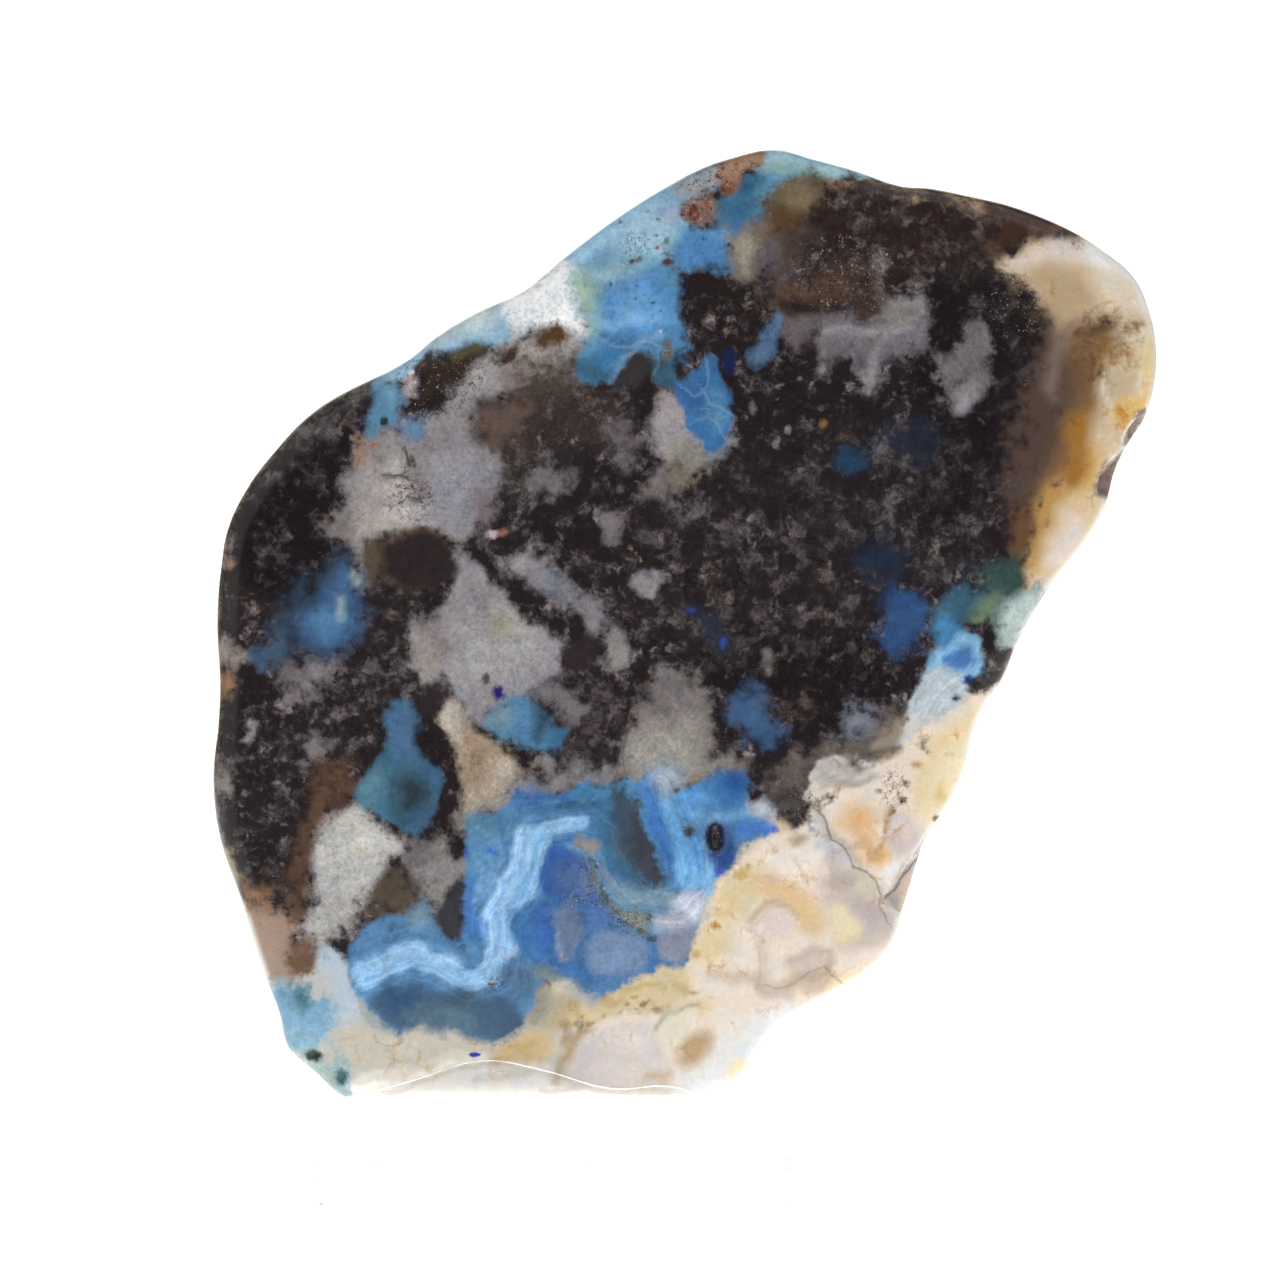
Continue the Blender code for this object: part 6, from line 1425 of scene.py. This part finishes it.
LIP_BACK = -3.6
LIP_FOOT = 4.2
LIP_RISE = 1.4
LIP_TAPER = 0.8
LIP_NEARBY = 0.6
FAR_BELOW = 9.0

clear = Finish("clear_acrylic")
clear.shader.inputs["Base Color"].default_value = (0.985, 0.99, 1.0, 1.0)
clear.shader.inputs["Transmission Weight"].default_value = 1.0
clear.shader.inputs["IOR"].default_value = 1.49

# The rubbed streaks run along the wavy lip and crowd under its top edge
under_edge = clear.attribute("under_edge", "Fac")
along_lip = clear.node("SeparateXYZ", "X", inputs={0: clear.millimetres()})
slanted = 2.6 * under_edge + 0.3 * clear.clouds(clear.millimetres(), 0.3)
streaks = clear.clouds(clear.node("CombineXYZ", inputs={0: 0.16 * along_lip, 1: slanted}), 1.0)
rubbed = clear.step(streaks, 0.2, 0.9) * (1 - clear.step(under_edge, 0.8, 3.4))
clear.feed(clear.shader.inputs["Roughness"], 0.04 + 0.75 * rubbed)
bump = clear.node("Bump", inputs={"Strength": 0.3, "Distance": 0.05 * MM, "Height": streaks})
clear.feed(clear.shader.inputs["Normal"], bump)

moulding = merged_copy("clear_stand", "clear_moulding")
corners = positions(moulding.data)
height = np.clip((corners[:, 2] - LIP_FOOT) / LIP_RISE, 0, 1)
in_lip = corners[:, 1] < LIP_BACK
corners[in_lip, 1] = LIP_BACK + (corners[in_lip, 1] - LIP_BACK) * (1 - LIP_TAPER * height[in_lip])
under = np.full(len(corners), FAR_BELOW)
for number in np.flatnonzero(in_lip):
    nearby = in_lip & (np.abs(corners[:, 0] - corners[number, 0]) < LIP_NEARBY)
    under[number] = corners[nearby, 2].max() - corners[number, 2]
below = moulding.data.attributes.new("under_edge", "FLOAT", "POINT")
below.data.foreach_set("value", under.astype(np.float32))
moulding.data.vertices.foreach_set("co", (corners * MM).astype(np.float32).ravel())
moulding.data.update()
moulding.data.materials.clear()
moulding.data.materials.append(clear.material)
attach(moulding, "root")
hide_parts("clear_stand")


# The studio: a small sheet of white paper swept up behind the stone, two soft boxes in front and one
# above, and the camera level with the slice.

SWEEP_HALF_WIDTH = 0.25
SWEEP_FRONT = -0.10
SWEEP_BACK = 0.45
SWEEP_BEND = 0.12
SWEEP_TOP = 0.35
SWEEP_STEPS = 12

sweep_line = [(SWEEP_FRONT, 0.0)]
for step in range(SWEEP_STEPS + 1):
    turn = math.pi / 2 * step / SWEEP_STEPS
    sweep_line.append((SWEEP_BACK - SWEEP_BEND * (1 - math.sin(turn)), SWEEP_BEND * (1 - math.cos(turn))))
sweep_line.append((SWEEP_BACK, SWEEP_TOP))
paper = bpy.data.meshes.new("paper_sweep")
corners = [(side * SWEEP_HALF_WIDTH, y, z) for y, z in sweep_line for side in (-1, 1)]
strips = [(2 * i, 2 * i + 1, 2 * i + 3, 2 * i + 2) for i in range(len(sweep_line) - 1)]
paper.from_pydata(corners, [], strips)
paper.shade_smooth()
sweep = bpy.data.objects.new("paper_sweep", paper)
bpy.context.scene.collection.objects.link(sweep)
white = Finish("white_paper")
white.shader.inputs["Base Color"].default_value = (0.92, 0.92, 0.92, 1.0)
white.shader.inputs["Roughness"].default_value = 0.9
white.shader.inputs["Emission Color"].default_value = (1.0, 1.0, 1.0, 1.0)
white.shader.inputs["Emission Strength"].default_value = 0.75
paper.materials.append(white.material)

ROOM_LIGHT = 0.15
world = bpy.data.worlds.new("room")
bpy.context.scene.world = world
world.use_nodes = True
world.node_tree.nodes["Background"].inputs["Color"].default_value = (1.0, 1.0, 1.0, 1.0)
world.node_tree.nodes["Background"].inputs["Strength"].default_value = ROOM_LIGHT

AIM = Vector((-2.75, -3.5, 34.2)) * MM
BOX_POWER = 3.8


def soft_box(name, place, size):
    """A square lamp that faces the stone."""
    lamp = bpy.data.lights.new(name, "AREA")
    lamp.shape = "SQUARE"
    lamp.size = size
    lamp.energy = BOX_POWER
    obj = bpy.data.objects.new(name, lamp)
    obj.location = place
    obj.rotation_euler = (AIM - Vector(place)).to_track_quat("-Z", "Y").to_euler()
    bpy.context.scene.collection.objects.link(obj)


soft_box("left_box", (-0.75, -0.60, 0.25), 1.3)
soft_box("right_box", (0.75, -0.60, 0.25), 1.3)
soft_box("top_box", (0.0, -0.35, 0.95), 1.2)

CAMERA_DISTANCE = 0.30
CAMERA_TILT = math.radians(2.0)
FRAME_WIDTH = 0.080
SENSOR = 36.0

lens = bpy.data.cameras.new("camera")
lens.sensor_width = SENSOR
lens.lens = SENSOR * CAMERA_DISTANCE / FRAME_WIDTH
camera = bpy.data.objects.new("camera", lens)
camera.location = AIM + CAMERA_DISTANCE * Vector((0, -math.cos(CAMERA_TILT), math.sin(CAMERA_TILT)))
camera.rotation_euler = (math.pi / 2 - CAMERA_TILT, 0, 0)
bpy.context.scene.collection.objects.link(camera)
bpy.context.scene.camera = camera
bpy.context.scene.view_settings.view_transform = "Standard"
